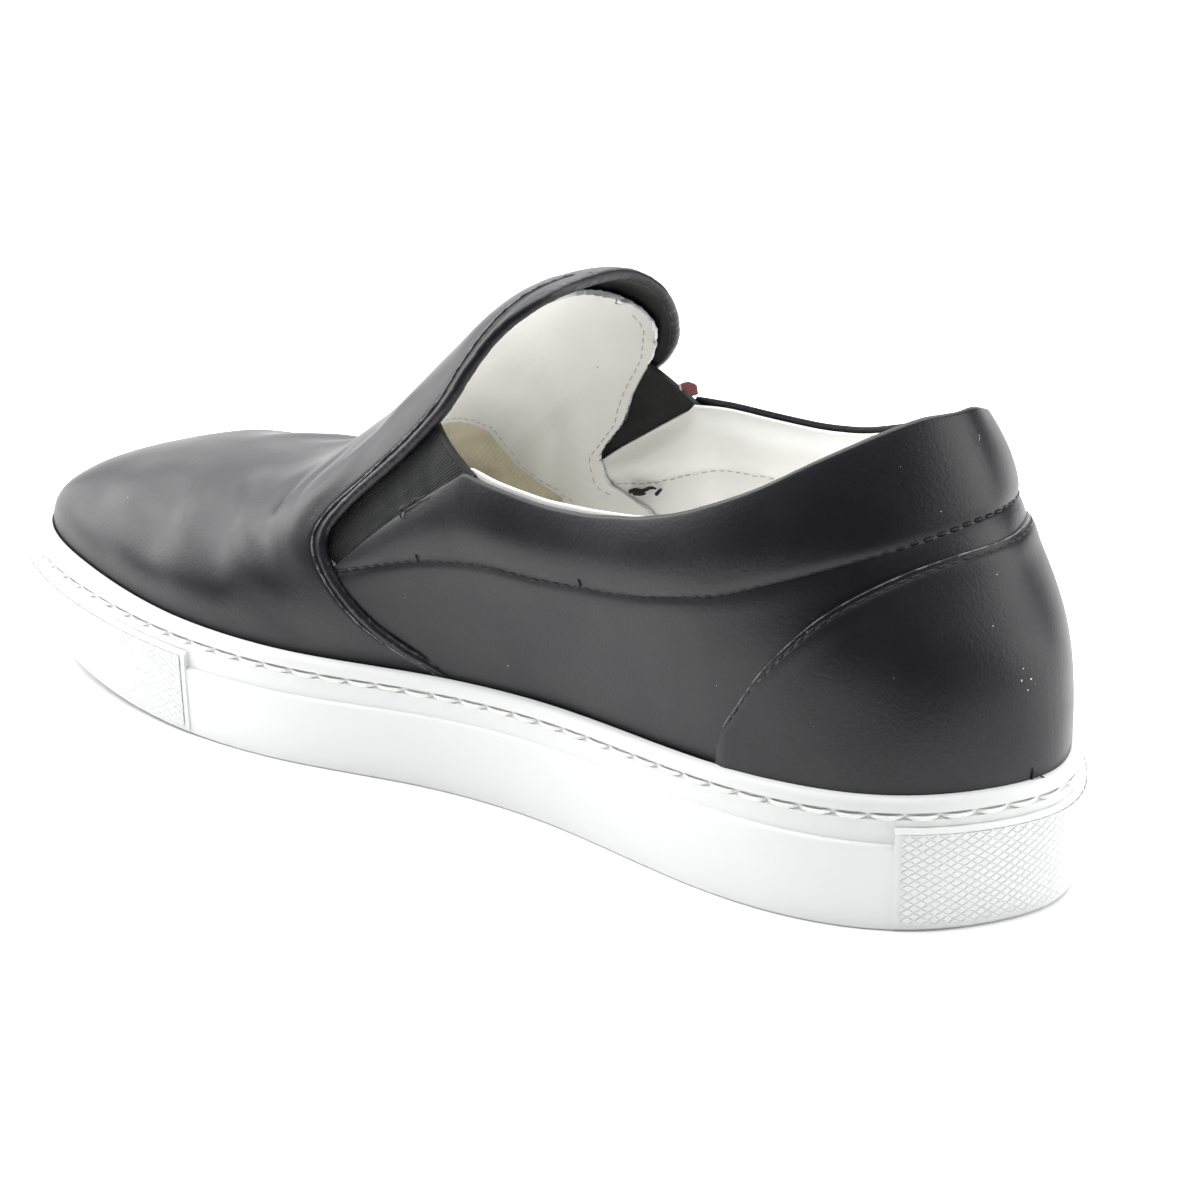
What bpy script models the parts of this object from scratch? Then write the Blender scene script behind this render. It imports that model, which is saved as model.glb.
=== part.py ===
"""A right-foot slip-on sneaker: a leather upper on a moulded cup sole.

The frame is in metres: +X points to the toe, +Y to the inner side of the foot, +Z up.
The origin is on the floor, at the centre of the sole's outline.
"""

import math

import bmesh
import bpy
import numpy as np

# Driving sizes
LENGTH = 0.295
BALL_WIDTH = 0.1010
BACK_HEIGHT = 0.1040
TONGUE_HEIGHT = 0.1160
SOLE_WALL = 0.0300
# Sizes of the sole
CUP_DEPTH = 0.0120
LIP_WIDTH = 0.0042
TOE_LIP = 0.0020
BAND_STEP = 0.0009
GROOVE_DEPTH = 0.0010
GROOVE_WIDTH = 0.0016
PATCH_RISE = 0.0005
PATCH_MARGIN = 0.0036
TREAD_DEPTH = 0.0014
TREAD_SLOT = 0.0022
TREAD_PITCH = 0.0110
TREAD_RIM = 0.0090
# Sizes of the upper and of what is inside it
WALL = 0.0022
VAMP_STEP = 0.0013
VAMP_LAP = 0.0120
COUNTER_SKIN = 0.0009
ELASTIC = 0.0011
INSOLE_THICKNESS = 0.0035
TAB_LENGTH = 0.0070
TAB_WIDTH = 0.0050
TAB_THICKNESS = 0.0012
GAP = 0.0003

# The sole's outline, seen from above: along as a share of LENGTH from the heel,
# across as a share of BALL_WIDTH, the inner side positive.
SOLE_OUTLINE = (
    (0.000, 0.000), (0.017, 0.155), (0.062, 0.305), (0.150, 0.400), (0.255, 0.393),
    (0.373, 0.347), (0.490, 0.366), (0.605, 0.448), (0.705, 0.476), (0.795, 0.452),
    (0.870, 0.402), (0.940, 0.318), (0.987, 0.190), (1.000, 0.040), (0.985, -0.120),
    (0.943, -0.278), (0.875, -0.416), (0.786, -0.500), (0.678, -0.520), (0.559, -0.480),
    (0.424, -0.432), (0.288, -0.408), (0.152, -0.388), (0.062, -0.305), (0.017, -0.160),
)
# Along the sole, as shares of SOLE_WALL: the lip's height, the step's height,
# how far the bottom lifts off the floor, and how far the wall leans out above it.
SOLE_SECTIONS = (
    # along, lip, step, lift, lean
    (0.00, 1.00, 0.66, 0.00, 0.05),
    (0.20, 0.96, 0.66, 0.00, 0.02),
    (0.40, 0.90, 0.61, 0.00, 0.00),
    (0.60, 0.88, 0.57, 0.00, 0.00),
    (0.75, 0.93, 0.59, 0.02, 0.02),
    (0.90, 1.00, 0.66, 0.14, 0.08),
    (1.00, 1.05, 0.73, 0.30, 0.15),
)
# Along the upper: the ridge's height as a share of TONGUE_HEIGHT, the squareness of
# the arch, and as shares of BALL_WIDTH the ridge's shift to the inner side and how far
# the inner and the outer wall swell out over the sole.
UPPER_SECTIONS = (
    # along, ridge, square, shift, inner, outer
    (0.000, 1.150, 2.8, 0.00, 0.000, 0.000),
    (0.150, 1.070, 2.8, 0.00, 0.010, 0.005),
    (0.300, 0.970, 2.8, 0.01, 0.040, 0.005),
    (0.400, 0.962, 2.8, 0.02, 0.060, 0.020),
    (0.430, 0.968, 2.8, 0.02, 0.060, 0.020),
    (0.458, 0.957, 2.7, 0.02, 0.055, 0.020),
    (0.481, 0.928, 2.6, 0.02, 0.050, 0.018),
    (0.508, 0.870, 2.5, 0.02, 0.040, 0.014),
    (0.532, 0.814, 2.4, 0.02, 0.030, 0.005),
    (0.556, 0.758, 2.3, 0.02, 0.020, 0.005),
    (0.583, 0.693, 2.2, 0.02, 0.010, 0.000),
    (0.613, 0.630, 2.2, 0.02, 0.005, 0.000),
    (0.640, 0.578, 2.2, 0.02, 0.000, 0.000),
    (0.671, 0.524, 2.2, 0.02, 0.000, 0.000),
    (0.708, 0.482, 2.2, 0.02, 0.000, 0.000),
    (0.770, 0.462, 2.2, 0.02, 0.000, 0.000),
    (0.868, 0.437, 2.2, 0.02, 0.000, 0.000),
    (0.935, 0.420, 2.3, 0.01, 0.000, 0.000),
    (1.000, 0.415, 2.3, 0.00, 0.000, 0.000),
)
# The toe's front wall rounds over this share of LENGTH.
TOE_ROUND = 0.15
# The back of the heel: height as a share of BACK_HEIGHT, forward lean as a share of LENGTH.
HEEL_CURVE = (
    (0.25, 0.000), (0.33, -0.001), (0.42, -0.001), (0.53, 0.005), (0.61, 0.016), (0.69, 0.030),
    (0.76, 0.041), (0.83, 0.053), (0.90, 0.065), (0.94, 0.071), (1.00, 0.080),
)
HEEL_LEAN_REACH = 0.34
# The top line of the quarters: along, and the inner and outer edge's height as shares of BACK_HEIGHT.
TOP_LINE = (
    (0.000, 0.915, 0.915), (0.078, 0.942, 0.940), (0.098, 0.953, 0.948), (0.111, 0.955, 0.942),
    (0.132, 0.938, 0.925), (0.154, 0.906, 0.890), (0.180, 0.862, 0.848), (0.209, 0.822, 0.808),
    (0.247, 0.774, 0.776), (0.283, 0.742, 0.764), (0.332, 0.715, 0.760), (0.373, 0.708, 0.757),
    (0.407, 0.716, 0.748), (0.451, 0.731, 0.735), (0.480, 0.745, 0.740),
)
# The vamp's rear edge, seen from the side: height as a share of TONGUE_HEIGHT, and how far
# along it is on the inner and on the outer side.
VAMP_EDGE = (
    (0.000, 0.460, 0.460), (0.224, 0.476, 0.474), (0.253, 0.501, 0.497), (0.286, 0.527, 0.521),
    (0.345, 0.556, 0.547), (0.404, 0.577, 0.566), (0.441, 0.586, 0.573), (0.472, 0.587, 0.573),
    (0.517, 0.577, 0.559), (0.584, 0.551, 0.528), (0.659, 0.519, 0.489), (0.722, 0.496, 0.456),
    (0.766, 0.482, 0.438), (0.814, 0.473, 0.428), (0.851, 0.466, 0.424), (0.900, 0.457, 0.422),
    (0.950, 0.445, 0.422), (1.000, 0.428, 0.424),
)
# The front edge of the quarter above the gusset's lower corner: height share, and how far
# along it is on the inner and on the outer side.
GUSSET_EDGE = (
    (0.400, 0.578, 0.564), (0.452, 0.556, 0.538), (0.563, 0.504, 0.475), (0.658, 0.451, 0.416),
)
# The heel counter's front and top seam: along, height as a share of BACK_HEIGHT.
COUNTER_SEAM = (
    (0.000, 0.740), (0.039, 0.748), (0.056, 0.744), (0.078, 0.728), (0.097, 0.701), (0.119, 0.658),
    (0.136, 0.616), (0.154, 0.559), (0.175, 0.484), (0.194, 0.401), (0.207, 0.333), (0.213, 0.280),
)


def cubic(rows, column):
    """A natural cubic curve through a table's column, as a function of its first one."""
    x = np.array([row[0] for row in rows], float)
    y = np.array([row[column] for row in rows], float)
    step = np.diff(x)
    count = len(x)
    system = np.eye(count)
    bend = np.zeros(count)
    for i in range(1, count - 1):
        system[i, i - 1:i + 2] = step[i - 1], 2 * (step[i - 1] + step[i]), step[i]
        bend[i] = 6 * ((y[i + 1] - y[i]) / step[i] - (y[i] - y[i - 1]) / step[i - 1])
    second = np.linalg.solve(system, bend)

    def value(at):
        at = np.clip(np.asarray(at, float), x[0], x[-1])
        i = np.clip(np.searchsorted(x, at) - 1, 0, count - 2)
        width = x[i + 1] - x[i]
        after, before = at - x[i], x[i + 1] - at
        return (
            (second[i] * before**3 + second[i + 1] * after**3) / (6 * width)
            + (y[i] / width - second[i] * width / 6) * before
            + (y[i + 1] / width - second[i + 1] * width / 6) * after
        )

    return value


def closed_curve(points, count):
    """A smooth closed curve through the points, read off at count places."""
    p = np.array(points, float)
    size = len(p)
    chord = np.linalg.norm(np.roll(p, -1, axis=0) - p, axis=1)
    system = np.zeros((size, size))
    bend = np.zeros((size, 2))
    for i in range(size):
        before, after, following = chord[i - 1], chord[i], (i + 1) % size
        system[i, i - 1] += before
        system[i, i] += 2 * (before + after)
        system[i, following] += after
        bend[i] = 6 * ((p[following] - p[i]) / after - (p[i] - p[i - 1]) / before)
    second = np.linalg.solve(system, bend)
    reach = np.concatenate([[0], np.cumsum(chord)])
    at = np.linspace(0, reach[-1], count, endpoint=False)
    i = np.clip(np.searchsorted(reach, at, side="right") - 1, 0, size - 1)
    j = (i + 1) % size
    width = chord[i][:, None]
    after = (at - reach[i])[:, None]
    before = width - after
    return (
        (second[i] * before**3 + second[j] * after**3) / (6 * width)
        + (p[i] / width - second[i] * width / 6) * before
        + (p[j] / width - second[j] * width / 6) * after
    )


def smooth(value):
    """0 below 0, 1 above 1, and a soft turn between."""
    t = np.clip(value, 0, 1)
    return t * t * (3 - 2 * t)


def outline_halves():
    """The outline's inner and outer halves, heel to toe: arc shares, points and normals."""
    dense = closed_curve([(a, c * BALL_WIDTH / LENGTH) for a, c in SOLE_OUTLINE], 2400)
    dense[:, 0] = (dense[:, 0] - dense[:, 0].min()) / np.ptp(dense[:, 0])
    dense[:, 1] -= (dense[:, 1].max() + dense[:, 1].min()) / 2
    dense *= LENGTH
    tangent = np.roll(dense, -1, axis=0) - np.roll(dense, 1, axis=0)
    normal = np.stack([-tangent[:, 1], tangent[:, 0]], axis=1)
    normal /= np.linalg.norm(normal, axis=1)[:, None]
    heel, toe = dense[:, 0].argmin(), dense[:, 0].argmax()
    span = (toe - heel) % len(dense)
    inner = (heel + np.arange(span + 1)) % len(dense)
    outer = (heel - np.arange(len(dense) - span + 1)) % len(dense)
    halves = {}
    for side, order in ((1, inner), (-1, outer)):
        points = dense[order]
        steps = np.linalg.norm(np.diff(points, axis=0), axis=1)
        share = np.concatenate([[0], np.cumsum(steps)]) / steps.sum()
        halves[side] = share, points, normal[order]
    return halves


HALVES = outline_halves()
LIP, STEP, LIFT, LEAN = (cubic(SOLE_SECTIONS, column) for column in (1, 2, 3, 4))
RIDGE, SQUARE, SHIFT, SWELL_IN, SWELL_OUT = (cubic(UPPER_SECTIONS, column) for column in range(1, 6))
HEEL_BACK = cubic(HEEL_CURVE, 1)
SWELL = {1: SWELL_IN, -1: SWELL_OUT}
TOP_HEIGHT = {1: cubic(TOP_LINE, 1), -1: cubic(TOP_LINE, 2)}
VAMP_BACK = {1: cubic(VAMP_EDGE, 1), -1: cubic(VAMP_EDGE, 2)}
GUSSET_BACK = {1: cubic(GUSSET_EDGE, 1), -1: cubic(GUSSET_EDGE, 2)}
COUNTER_TOP = cubic(COUNTER_SEAM, 1)
UPPER_RISE = 0.0040
SWELL_REACH = 0.0360
OUTER_FULLNESS = 1.06


def foot(side, share, inset):
    """The point at an arc share of one half of the outline, moved inwards, and its normal."""
    shares, points, normals = HALVES[side]
    point = np.stack([np.interp(share, shares, points[:, k]) for k in (0, 1)], axis=-1)
    normal = np.stack([np.interp(share, shares, normals[:, k]) for k in (0, 1)], axis=-1)
    return point - normal * np.asarray(inset)[..., None], normal


def along(share):
    """The distance from the heel at an arc share, as a share of LENGTH: the mean of both halves."""
    return (foot(1, share, 0 * share)[0][..., 0] + foot(-1, share, 0 * share)[0][..., 0]) / 2 / LENGTH


def lip_width(share):
    """The lip is wider round the toe."""
    return LIP_WIDTH + TOE_LIP * smooth((along(share) - 0.72) / 0.20)


def upper_inset(share):
    return lip_width(share) + GAP


def lip_height(x):
    return LIP(x / LENGTH) * SOLE_WALL


def floor_height(x):
    """The height of the cup's floor, inside the sole."""
    return lip_height(x) - CUP_DEPTH


def arch(share):
    """The upper's section at an arc share: its centre, base height, ridge height and squareness."""
    inner, _ = foot(1, share, upper_inset(share))
    outer, _ = foot(-1, share, upper_inset(share))
    centre = (inner + outer) / 2
    place = centre[..., 0] / LENGTH
    low = lip_height(centre[..., 0]) + UPPER_RISE * (1 - smooth((place - 0.70) / 0.20))
    width = np.linalg.norm(inner - outer, axis=-1)
    centre[..., 1] += SHIFT(place) * BALL_WIDTH * np.minimum(1, width / (0.5 * BALL_WIDTH))
    tip = LENGTH - LIP_WIDTH - TOE_LIP - GAP
    rounding = np.clip((tip - centre[..., 0]) / (TOE_ROUND * LENGTH), 0, 1)
    rounding = (1 - (1 - rounding) ** 2.1) ** (1 / 2.1)
    high = low + (RIDGE(place) * TONGUE_HEIGHT - low) * rounding
    return centre, low, high, SQUARE(place)


def upper_point(side, share, height=None, angle=None):
    """A point of the upper's outer surface, at a height or at an angle of the arch."""
    centre, low, high, square = arch(share)
    square = square * (OUTER_FULLNESS if side < 0 else 1)
    base, normal = foot(side, share, upper_inset(share))
    if height is None:
        height = low + (high - low) * np.sin(angle) ** (2 / square)
        narrow = np.cos(angle) ** (2 / square)
    else:
        rise = np.clip((height - low) / np.maximum(high - low, 1e-6), 0, 1)
        narrow = (1 - rise**square) ** (1 / square)
    swell = SWELL[side](centre[..., 0] / LENGTH) * BALL_WIDTH * smooth((height - low) / SWELL_REACH)
    base = base + normal * swell[..., None]
    plan = centre + (base - centre) * narrow[..., None]
    lean = HEEL_BACK(height / BACK_HEIGHT) * LENGTH
    reach = 1 - smooth(plan[..., 0] / (HEEL_LEAN_REACH * LENGTH))
    return np.stack([plan[..., 0] + lean * reach, plan[..., 1], height + 0 * reach], axis=-1)


def surface_at(side, x, height):
    """The upper's outer surface at distances from the heel and heights."""
    shares = np.linspace(0, 1, 500)
    points = []
    for along, level in zip(np.ravel(x), np.ravel(height)):
        line = upper_point(side, shares, height=np.full(shares.shape, level))
        reach = np.maximum.accumulate(line[:, 0]) + np.arange(500) * 1e-9
        share = np.interp(along, reach, shares)
        points.append(upper_point(side, np.array([share]), height=np.array([level]))[0])
    return np.array(points).reshape(np.shape(x) + (3,))


def grid_normals(grid):
    """Outward normals of a grid of points, rows by columns, whose rows run up the shoe."""
    up = np.gradient(grid, axis=0)
    along = np.gradient(grid, axis=1)
    normal = np.cross(along, up)
    return normal / np.maximum(np.linalg.norm(normal, axis=-1), 1e-9)[..., None]


def facing_sign(grid):
    """1 where a grid's normals point away from the shoe's middle line, else -1."""
    middle = np.stack([grid[..., 0] * 0.8 + 0.1 * LENGTH, 0 * grid[..., 0], 0 * grid[..., 0] + 0.03], axis=-1)
    return np.sign((grid_normals(grid) * (grid - middle)).sum(-1).mean())


def outward(grid):
    """A grid's normals, turned to point away from the shoe's middle line."""
    return grid_normals(grid) * facing_sign(grid)


def to_frame(points):
    """Moves points from the heel's end to the frame's origin, at the outline's centre."""
    return np.asarray(points) - np.array([LENGTH / 2, 0, 0])


def new_object(name, mesh, material, home):
    obj = bpy.data.objects.new(name, mesh)
    home.objects.link(obj)
    obj.data.materials.append(material)
    return obj


def finish(mesh, smooth_angle=35):
    mesh.shade_smooth()
    mesh.set_sharp_from_angle(angle=math.radians(smooth_angle))


def grid_object(name, grid, material, home, thickness):
    """An open sheet through a grid of points, thickened inwards by Solidify."""
    bm = bmesh.new()
    rows, columns = grid.shape[:2]
    points = to_frame(grid)
    verts = [[bm.verts.new(points[r, c]) for c in range(columns)] for r in range(rows)]
    facing = facing_sign(grid)
    for r in range(rows - 1):
        for c in range(columns - 1):
            corners = (verts[r][c], verts[r][c + 1], verts[r + 1][c + 1], verts[r + 1][c])
            bm.faces.new(corners[::int(facing)])
    bmesh.ops.remove_doubles(bm, verts=bm.verts, dist=1e-6)
    mesh = bpy.data.meshes.new(name)
    bm.to_mesh(mesh)
    bm.free()
    obj = new_object(name, mesh, material, home)
    shell = obj.modifiers.new("wall", "SOLIDIFY")
    shell.thickness = thickness
    shell.offset = -1
    finish(mesh)
    return obj


def ladder(bm, ring):
    """Closes a ring with strips between its two halves, which start together at ring[0]."""
    count = len(ring)
    faces = []
    for i in range(count // 2):
        corners = (ring[i], ring[i + 1], ring[(count - i - 1) % count], ring[(count - i) % count])
        distinct = list(dict.fromkeys(corners))
        if len(distinct) > 2:
            faces.append(bm.faces.new(distinct))
    return faces


def ring_solid(name, rings, material, home):
    """A closed solid through a stack of rings, its first and last ring closed by strips."""
    bm = bmesh.new()
    stack = [[bm.verts.new(point) for point in to_frame(ring)] for ring in rings]
    count = len(stack[0])
    for low, high in zip(stack, stack[1:]):
        for i in range(count):
            j = (i + 1) % count
            bm.faces.new((low[i], low[j], high[j], high[i]))
    ladder(bm, stack[0])
    ladder(bm, stack[-1])
    bmesh.ops.recalc_face_normals(bm, faces=bm.faces)
    mesh = bpy.data.meshes.new(name)
    bm.to_mesh(mesh)
    bm.free()
    finish(mesh)
    return new_object(name, mesh, material, home)


def surface(name, colour, roughness):
    material = bpy.data.materials.new(name)
    material.use_nodes = True
    shader = material.node_tree.nodes["Principled BSDF"]
    shader.inputs["Base Color"].default_value = (*colour, 1)
    shader.inputs["Roughness"].default_value = roughness
    shader.inputs["Metallic"].default_value = 0
    return material


# The moulded patches round the heel and the toe end at these shares of LENGTH.
HEEL_PATCH = 0.070
TOE_PATCH = 0.705
SOLE_COLUMNS = 48


def sole_columns():
    """Arc shares of the sole's columns, with a close pair at each end of the moulded patches."""
    shares = list(close_ends(SOLE_COLUMNS))
    shares_heel = share_on_outline(HEEL_PATCH)
    shares_toe = share_on_outline(TOE_PATCH)
    for edge in (shares_heel, shares_toe):
        shares = [s for s in shares if abs(s - edge) > 0.004]
        shares += [edge - 0.0006, edge + 0.0006]
    return np.array(sorted(shares)), shares_heel, shares_toe


def close_ends(count):
    """Shares from 0 to 1, twice as close together at the heel and the toe."""
    t = np.linspace(0, 1, count)
    return t - 0.5 * np.sin(2 * math.pi * t) / (2 * math.pi)


def share_on_outline(place):
    shares, points, _ = HALVES[1]
    return float(np.interp(place * LENGTH, points[:, 0], shares))


def loop(shares, inset, height):
    """A ring of points round the outline: up the inner half from the heel, back down the outer."""
    parts = []
    for side, order in ((1, slice(None)), (-1, slice(-2, 0, -1))):
        at = shares[order]
        depth = np.broadcast_to(inset(at) if callable(inset) else inset, at.shape)
        plan, _ = foot(side, at, depth)
        outer, _ = foot(side, at, 0)
        parts.append(np.column_stack([plan, height(at, outer[:, 0])]))
    return np.vstack(parts)


def build_sole(material, home, cutters):
    """The cup sole: a leaning wall with a step, moulded patches at heel and toe, a stitch groove and a lip."""
    shares, heel_edge, toe_edge = sole_columns()

    def on_patch(at):
        return ((at < heel_edge) | (at > toe_edge)).astype(float)

    def lift(at, x):
        return LIFT(x / LENGTH) * SOLE_WALL

    def step(at, x):
        return STEP(x / LENGTH) * SOLE_WALL

    def groove(at, x):
        return lip_height(x) - 0.0038

    def patch_top(at, x):
        return np.minimum(step(at, x) + PATCH_MARGIN, groove(at, x) - 0.0022)

    def lean(at):
        return LEAN(along(at)) * SOLE_WALL

    def raised(at, plain):
        return np.where(on_patch(at) > 0.5, -PATCH_RISE, plain)

    band = BAND_STEP + 0.0002
    rings = [
        loop(shares, lambda s: lean(s) + 0.0008, lift),
        loop(shares, lambda s: lean(s) + raised(s, 0), lambda s, x: lift(s, x) + 0.0008),
        loop(shares, lambda s: raised(s, 0), lambda s, x: step(s, x) - 0.0010),
        loop(shares, lambda s: raised(s, 0.0003), lambda s, x: step(s, x) - 0.0002),
        loop(shares, lambda s: raised(s, BAND_STEP), lambda s, x: step(s, x) + 0.0002),
        loop(shares, lambda s: raised(s, band), lambda s, x: patch_top(s, x) - 0.0003),
        loop(shares, band, patch_top),
        loop(shares, band, lambda s, x: groove(s, x) - GROOVE_WIDTH / 2),
        loop(shares, band + GROOVE_DEPTH, groove),
        loop(shares, band, lambda s, x: groove(s, x) + GROOVE_WIDTH / 2),
        loop(shares, band + 0.0006, lambda s, x: lip_height(x) - 0.0014),
        loop(shares, band + 0.0014, lambda s, x: lip_height(x) - 0.0004),
        loop(shares, lambda s: lip_width(s) - 0.0007, lambda s, x: lip_height(x)),
        loop(shares, lip_width, lambda s, x: lip_height(x) - 0.0004),
        loop(shares, lip_width, lambda s, x: floor_height(x)),
    ]
    sole = ring_solid("sole", rings, material, home)
    slots = tread_slots(cutters)
    cut = sole.modifiers.new("tread", "BOOLEAN")
    cut.operation = "DIFFERENCE"
    cut.object = slots
    return sole


def tread_slots(cutters):
    """Boxes that cut the tread's cross slots, inside a plain rim, at the forefoot and the heel."""
    bm = bmesh.new()
    for start, end in ((0.07, 0.30), (0.52, 0.92)):
        count = int((end - start) * LENGTH / TREAD_PITCH)
        for i in range(count + 1):
            x = start * LENGTH + i * TREAD_PITCH
            edges = []
            for side in (1, -1):
                shares, points, _ = HALVES[side]
                edges.append(np.interp(x, points[:, 0], points[:, 1]) - side * TREAD_RIM)
            made = bmesh.ops.create_cube(bm, size=1)["verts"]
            low, high = edges[1], edges[0]
            top = LIFT(x / LENGTH) * SOLE_WALL + TREAD_DEPTH
            depth = 0.006
            bmesh.ops.scale(bm, vec=(TREAD_SLOT, high - low, depth), verts=made)
            centre = to_frame([x, (low + high) / 2, top - depth / 2])
            bmesh.ops.translate(bm, vec=tuple(centre), verts=made)
    mesh = bpy.data.meshes.new("tread_slots")
    bm.to_mesh(mesh)
    bm.free()
    obj = bpy.data.objects.new("tread_slots", mesh)
    obj.hide_render = True
    obj.display_type = "WIRE"
    cutters.objects.link(obj)
    return obj


def vamp_back(side, height):
    """How far along the vamp's rear edge is, at a height on one side."""
    return VAMP_BACK[side](height / TONGUE_HEIGHT) * LENGTH


def edge_share(row, side):
    """The arc share where a row of the vamp meets its rear edge."""
    shares = np.linspace(0.25, 1, 300)
    points = vamp_row(row, side, shares)
    past = points[:, 0] - vamp_back(side, points[:, 2])
    last = np.nonzero(past < 0)[0]
    i = last[-1] if len(last) else 0
    k = min(i + 1, len(shares) - 1)
    span = past[k] - past[i]
    return shares[i] + (shares[k] - shares[i]) * (-past[i] / span if span > 0 else 0)


def vamp_row(row, side, shares):
    """A line of the vamp's surface along the shoe. Rows below 0 are levels, above 0 angles."""
    if row <= 0:
        centre, low, _, _ = arch(shares)
        bottom = floor_height(centre[..., 0]) + GAP
        return upper_point(side, shares, height=low + (bottom - low) * -row)
    return upper_point(side, shares, angle=np.full(shares.shape, row))


VAMP_LEVELS = (-1.0, -0.25, 0.0)
VAMP_ANGLES = 13
VAMP_COLUMNS = 24


def vamp_grid():
    """The vamp and its tongue: arches from the toe's tip back to the rear edge."""
    angles = [math.pi / 2 * (i / VAMP_ANGLES) for i in range(1, VAMP_ANGLES + 1)]
    rows = list(VAMP_LEVELS) + angles
    grid = []
    behind = []
    order = [(row, 1) for row in rows] + [(row, -1) for row in rows[-2::-1]]
    for row, side in order:
        start = edge_share(row, side)
        t = np.linspace(0, 1, VAMP_COLUMNS) ** 1.15
        line = vamp_row(row, side, start + (1 - start) * t)
        grid.append(line)
        behind.append(line[:, 0] - vamp_back(side, line[:, 2]))
    grid = np.array(grid)
    raised = VAMP_STEP * (1 - smooth(np.array(behind) / 0.030))
    raised = raised * smooth((grid[..., 2] - lip_height(grid[..., 0])) / 0.004)
    return grid + outward(grid) * raised[..., None]


# Shares of the quarter's height, with a close pair where the gusset's lower corner is.
QUARTER_RISES = (0, 0.1, 0.2, 0.3, 0.4, 0.485, 0.525, 0.6, 0.7, 0.8, 0.9, 1.0)
QUARTER_COLUMNS = 30
HEEL_CLOSENESS = 1.5


def quarter_front(side, height):
    """How far forward the quarter reaches at a height: under the vamp, or to the gusset."""
    share = height / TONGUE_HEIGHT
    lapped = vamp_back(side, height) + VAMP_LAP
    open_front = np.minimum(GUSSET_BACK[side](share) * LENGTH, lapped)
    return np.where(share < GUSSET_EDGE[0][0], lapped, open_front)


def height_under(curve, side, shares):
    """Heights at arc shares whose points lie on a curve of height against distance."""
    centre, _, _, _ = arch(shares)
    height = curve(centre[..., 0] / LENGTH) * BACK_HEIGHT
    for _ in range(8):
        points = upper_point(side, shares, height=height)
        height = (height + curve(points[:, 0] / LENGTH) * BACK_HEIGHT) / 2
    return height


def wall_bottom(shares):
    """The height of the upper's lower edge, just clear of the cup's floor."""
    centre, _, _, _ = arch(shares)
    return floor_height(centre[..., 0]) + GAP


def front_share(side, rise):
    """The arc share of the quarter's front edge, at a share of its height."""
    shares = np.linspace(0.2, 0.85, 400)
    bottom = wall_bottom(shares)
    height = bottom + rise * (height_under(TOP_HEIGHT[side], side, shares) - bottom)
    points = upper_point(side, shares, height=height)
    past = points[:, 0] - quarter_front(side, points[:, 2])
    first = np.nonzero(past > 0)[0]
    if not len(first) or first[0] == 0:
        return shares[-1]
    after = first[0]
    part_way = -past[after - 1] / (past[after] - past[after - 1])
    return shares[after - 1] + (shares[after] - shares[after - 1]) * part_way


def quarter_grid(rises=QUARTER_RISES, columns=QUARTER_COLUMNS):
    """The quarters: walls from the inner front edge round the heel to the outer front edge."""
    grid = []
    hidden = []
    for rise in rises:
        line = []
        lapped = []
        for side in (1, -1):
            shares = front_share(side, rise) * np.linspace(1, 0, columns) ** HEEL_CLOSENESS
            bottom = wall_bottom(shares)
            height = bottom + rise * (height_under(TOP_HEIGHT[side], side, shares) - bottom)
            points = upper_point(side, shares, height=height)
            line.append(points)
            lapped.append(smooth((points[:, 0] - vamp_back(side, points[:, 2])) / 0.003))
        grid.append(np.vstack([line[0], line[1][-2::-1]]))
        hidden.append(np.concatenate([lapped[0], lapped[1][-2::-1]]))
    grid = np.array(grid)
    return grid - outward(grid) * (0.0004 * np.array(hidden))[..., None]


def build_upper(material, home, cutters):
    """One hollow shell: the vamp with its tongue lies over the quarters and is joined to them."""
    upper = grid_object("upper", vamp_grid(), material, home, WALL)
    quarter = grid_object("quarter_wall", quarter_grid(), material, cutters, WALL)
    quarter.hide_render = True
    quarter.display_type = "WIRE"
    join = upper.modifiers.new("quarters", "BOOLEAN")
    join.operation = "UNION"
    join.object = quarter
    return upper


GUSSET_ROWS = 12
GUSSET_COLUMNS = 6
# The elastic lies under both edges: its depth below the surface at the rear and the front.
GUSSET_REAR_DEPTH = WALL + 0.0005
GUSSET_FRONT_DEPTH = 0.0017
GUSSET_TUCK = 0.0015
GUSSET_TOP = 0.730
TAB_ALONG = 0.4270
TAB_UP = 0.683


def gusset_grid(side):
    """The elastic wedge between the quarter's front edge and the vamp's rear edge."""
    rise = np.linspace(0, 1, GUSSET_ROWS)[:, None]
    low, high = GUSSET_EDGE[0][0] * TONGUE_HEIGHT, GUSSET_EDGE[-1][0] * TONGUE_HEIGHT
    rear_height = low + 0.003 + (high - low - 0.004) * rise
    front_height = low + 0.005 + (GUSSET_TOP * TONGUE_HEIGHT - low - 0.005) * rise
    rear = GUSSET_BACK[side](rear_height / TONGUE_HEIGHT) * LENGTH - GUSSET_TUCK
    front = vamp_back(side, front_height) + GUSSET_TUCK
    across = np.linspace(0, 1, GUSSET_COLUMNS)[None, :]
    x = rear + (np.maximum(front, rear + 0.0008) - rear) * across
    height = rear_height + (front_height - rear_height) * across
    grid = surface_at(side, x, height)
    depth = GUSSET_REAR_DEPTH + (GUSSET_FRONT_DEPTH - GUSSET_REAR_DEPTH) * across
    return grid - outward(grid) * depth[..., None]


def build_gusset(name, side, material, home):
    return grid_object(name, gusset_grid(side), material, home, ELASTIC)


COUNTER_ROWS = 9
COUNTER_COLUMNS = 20


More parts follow.
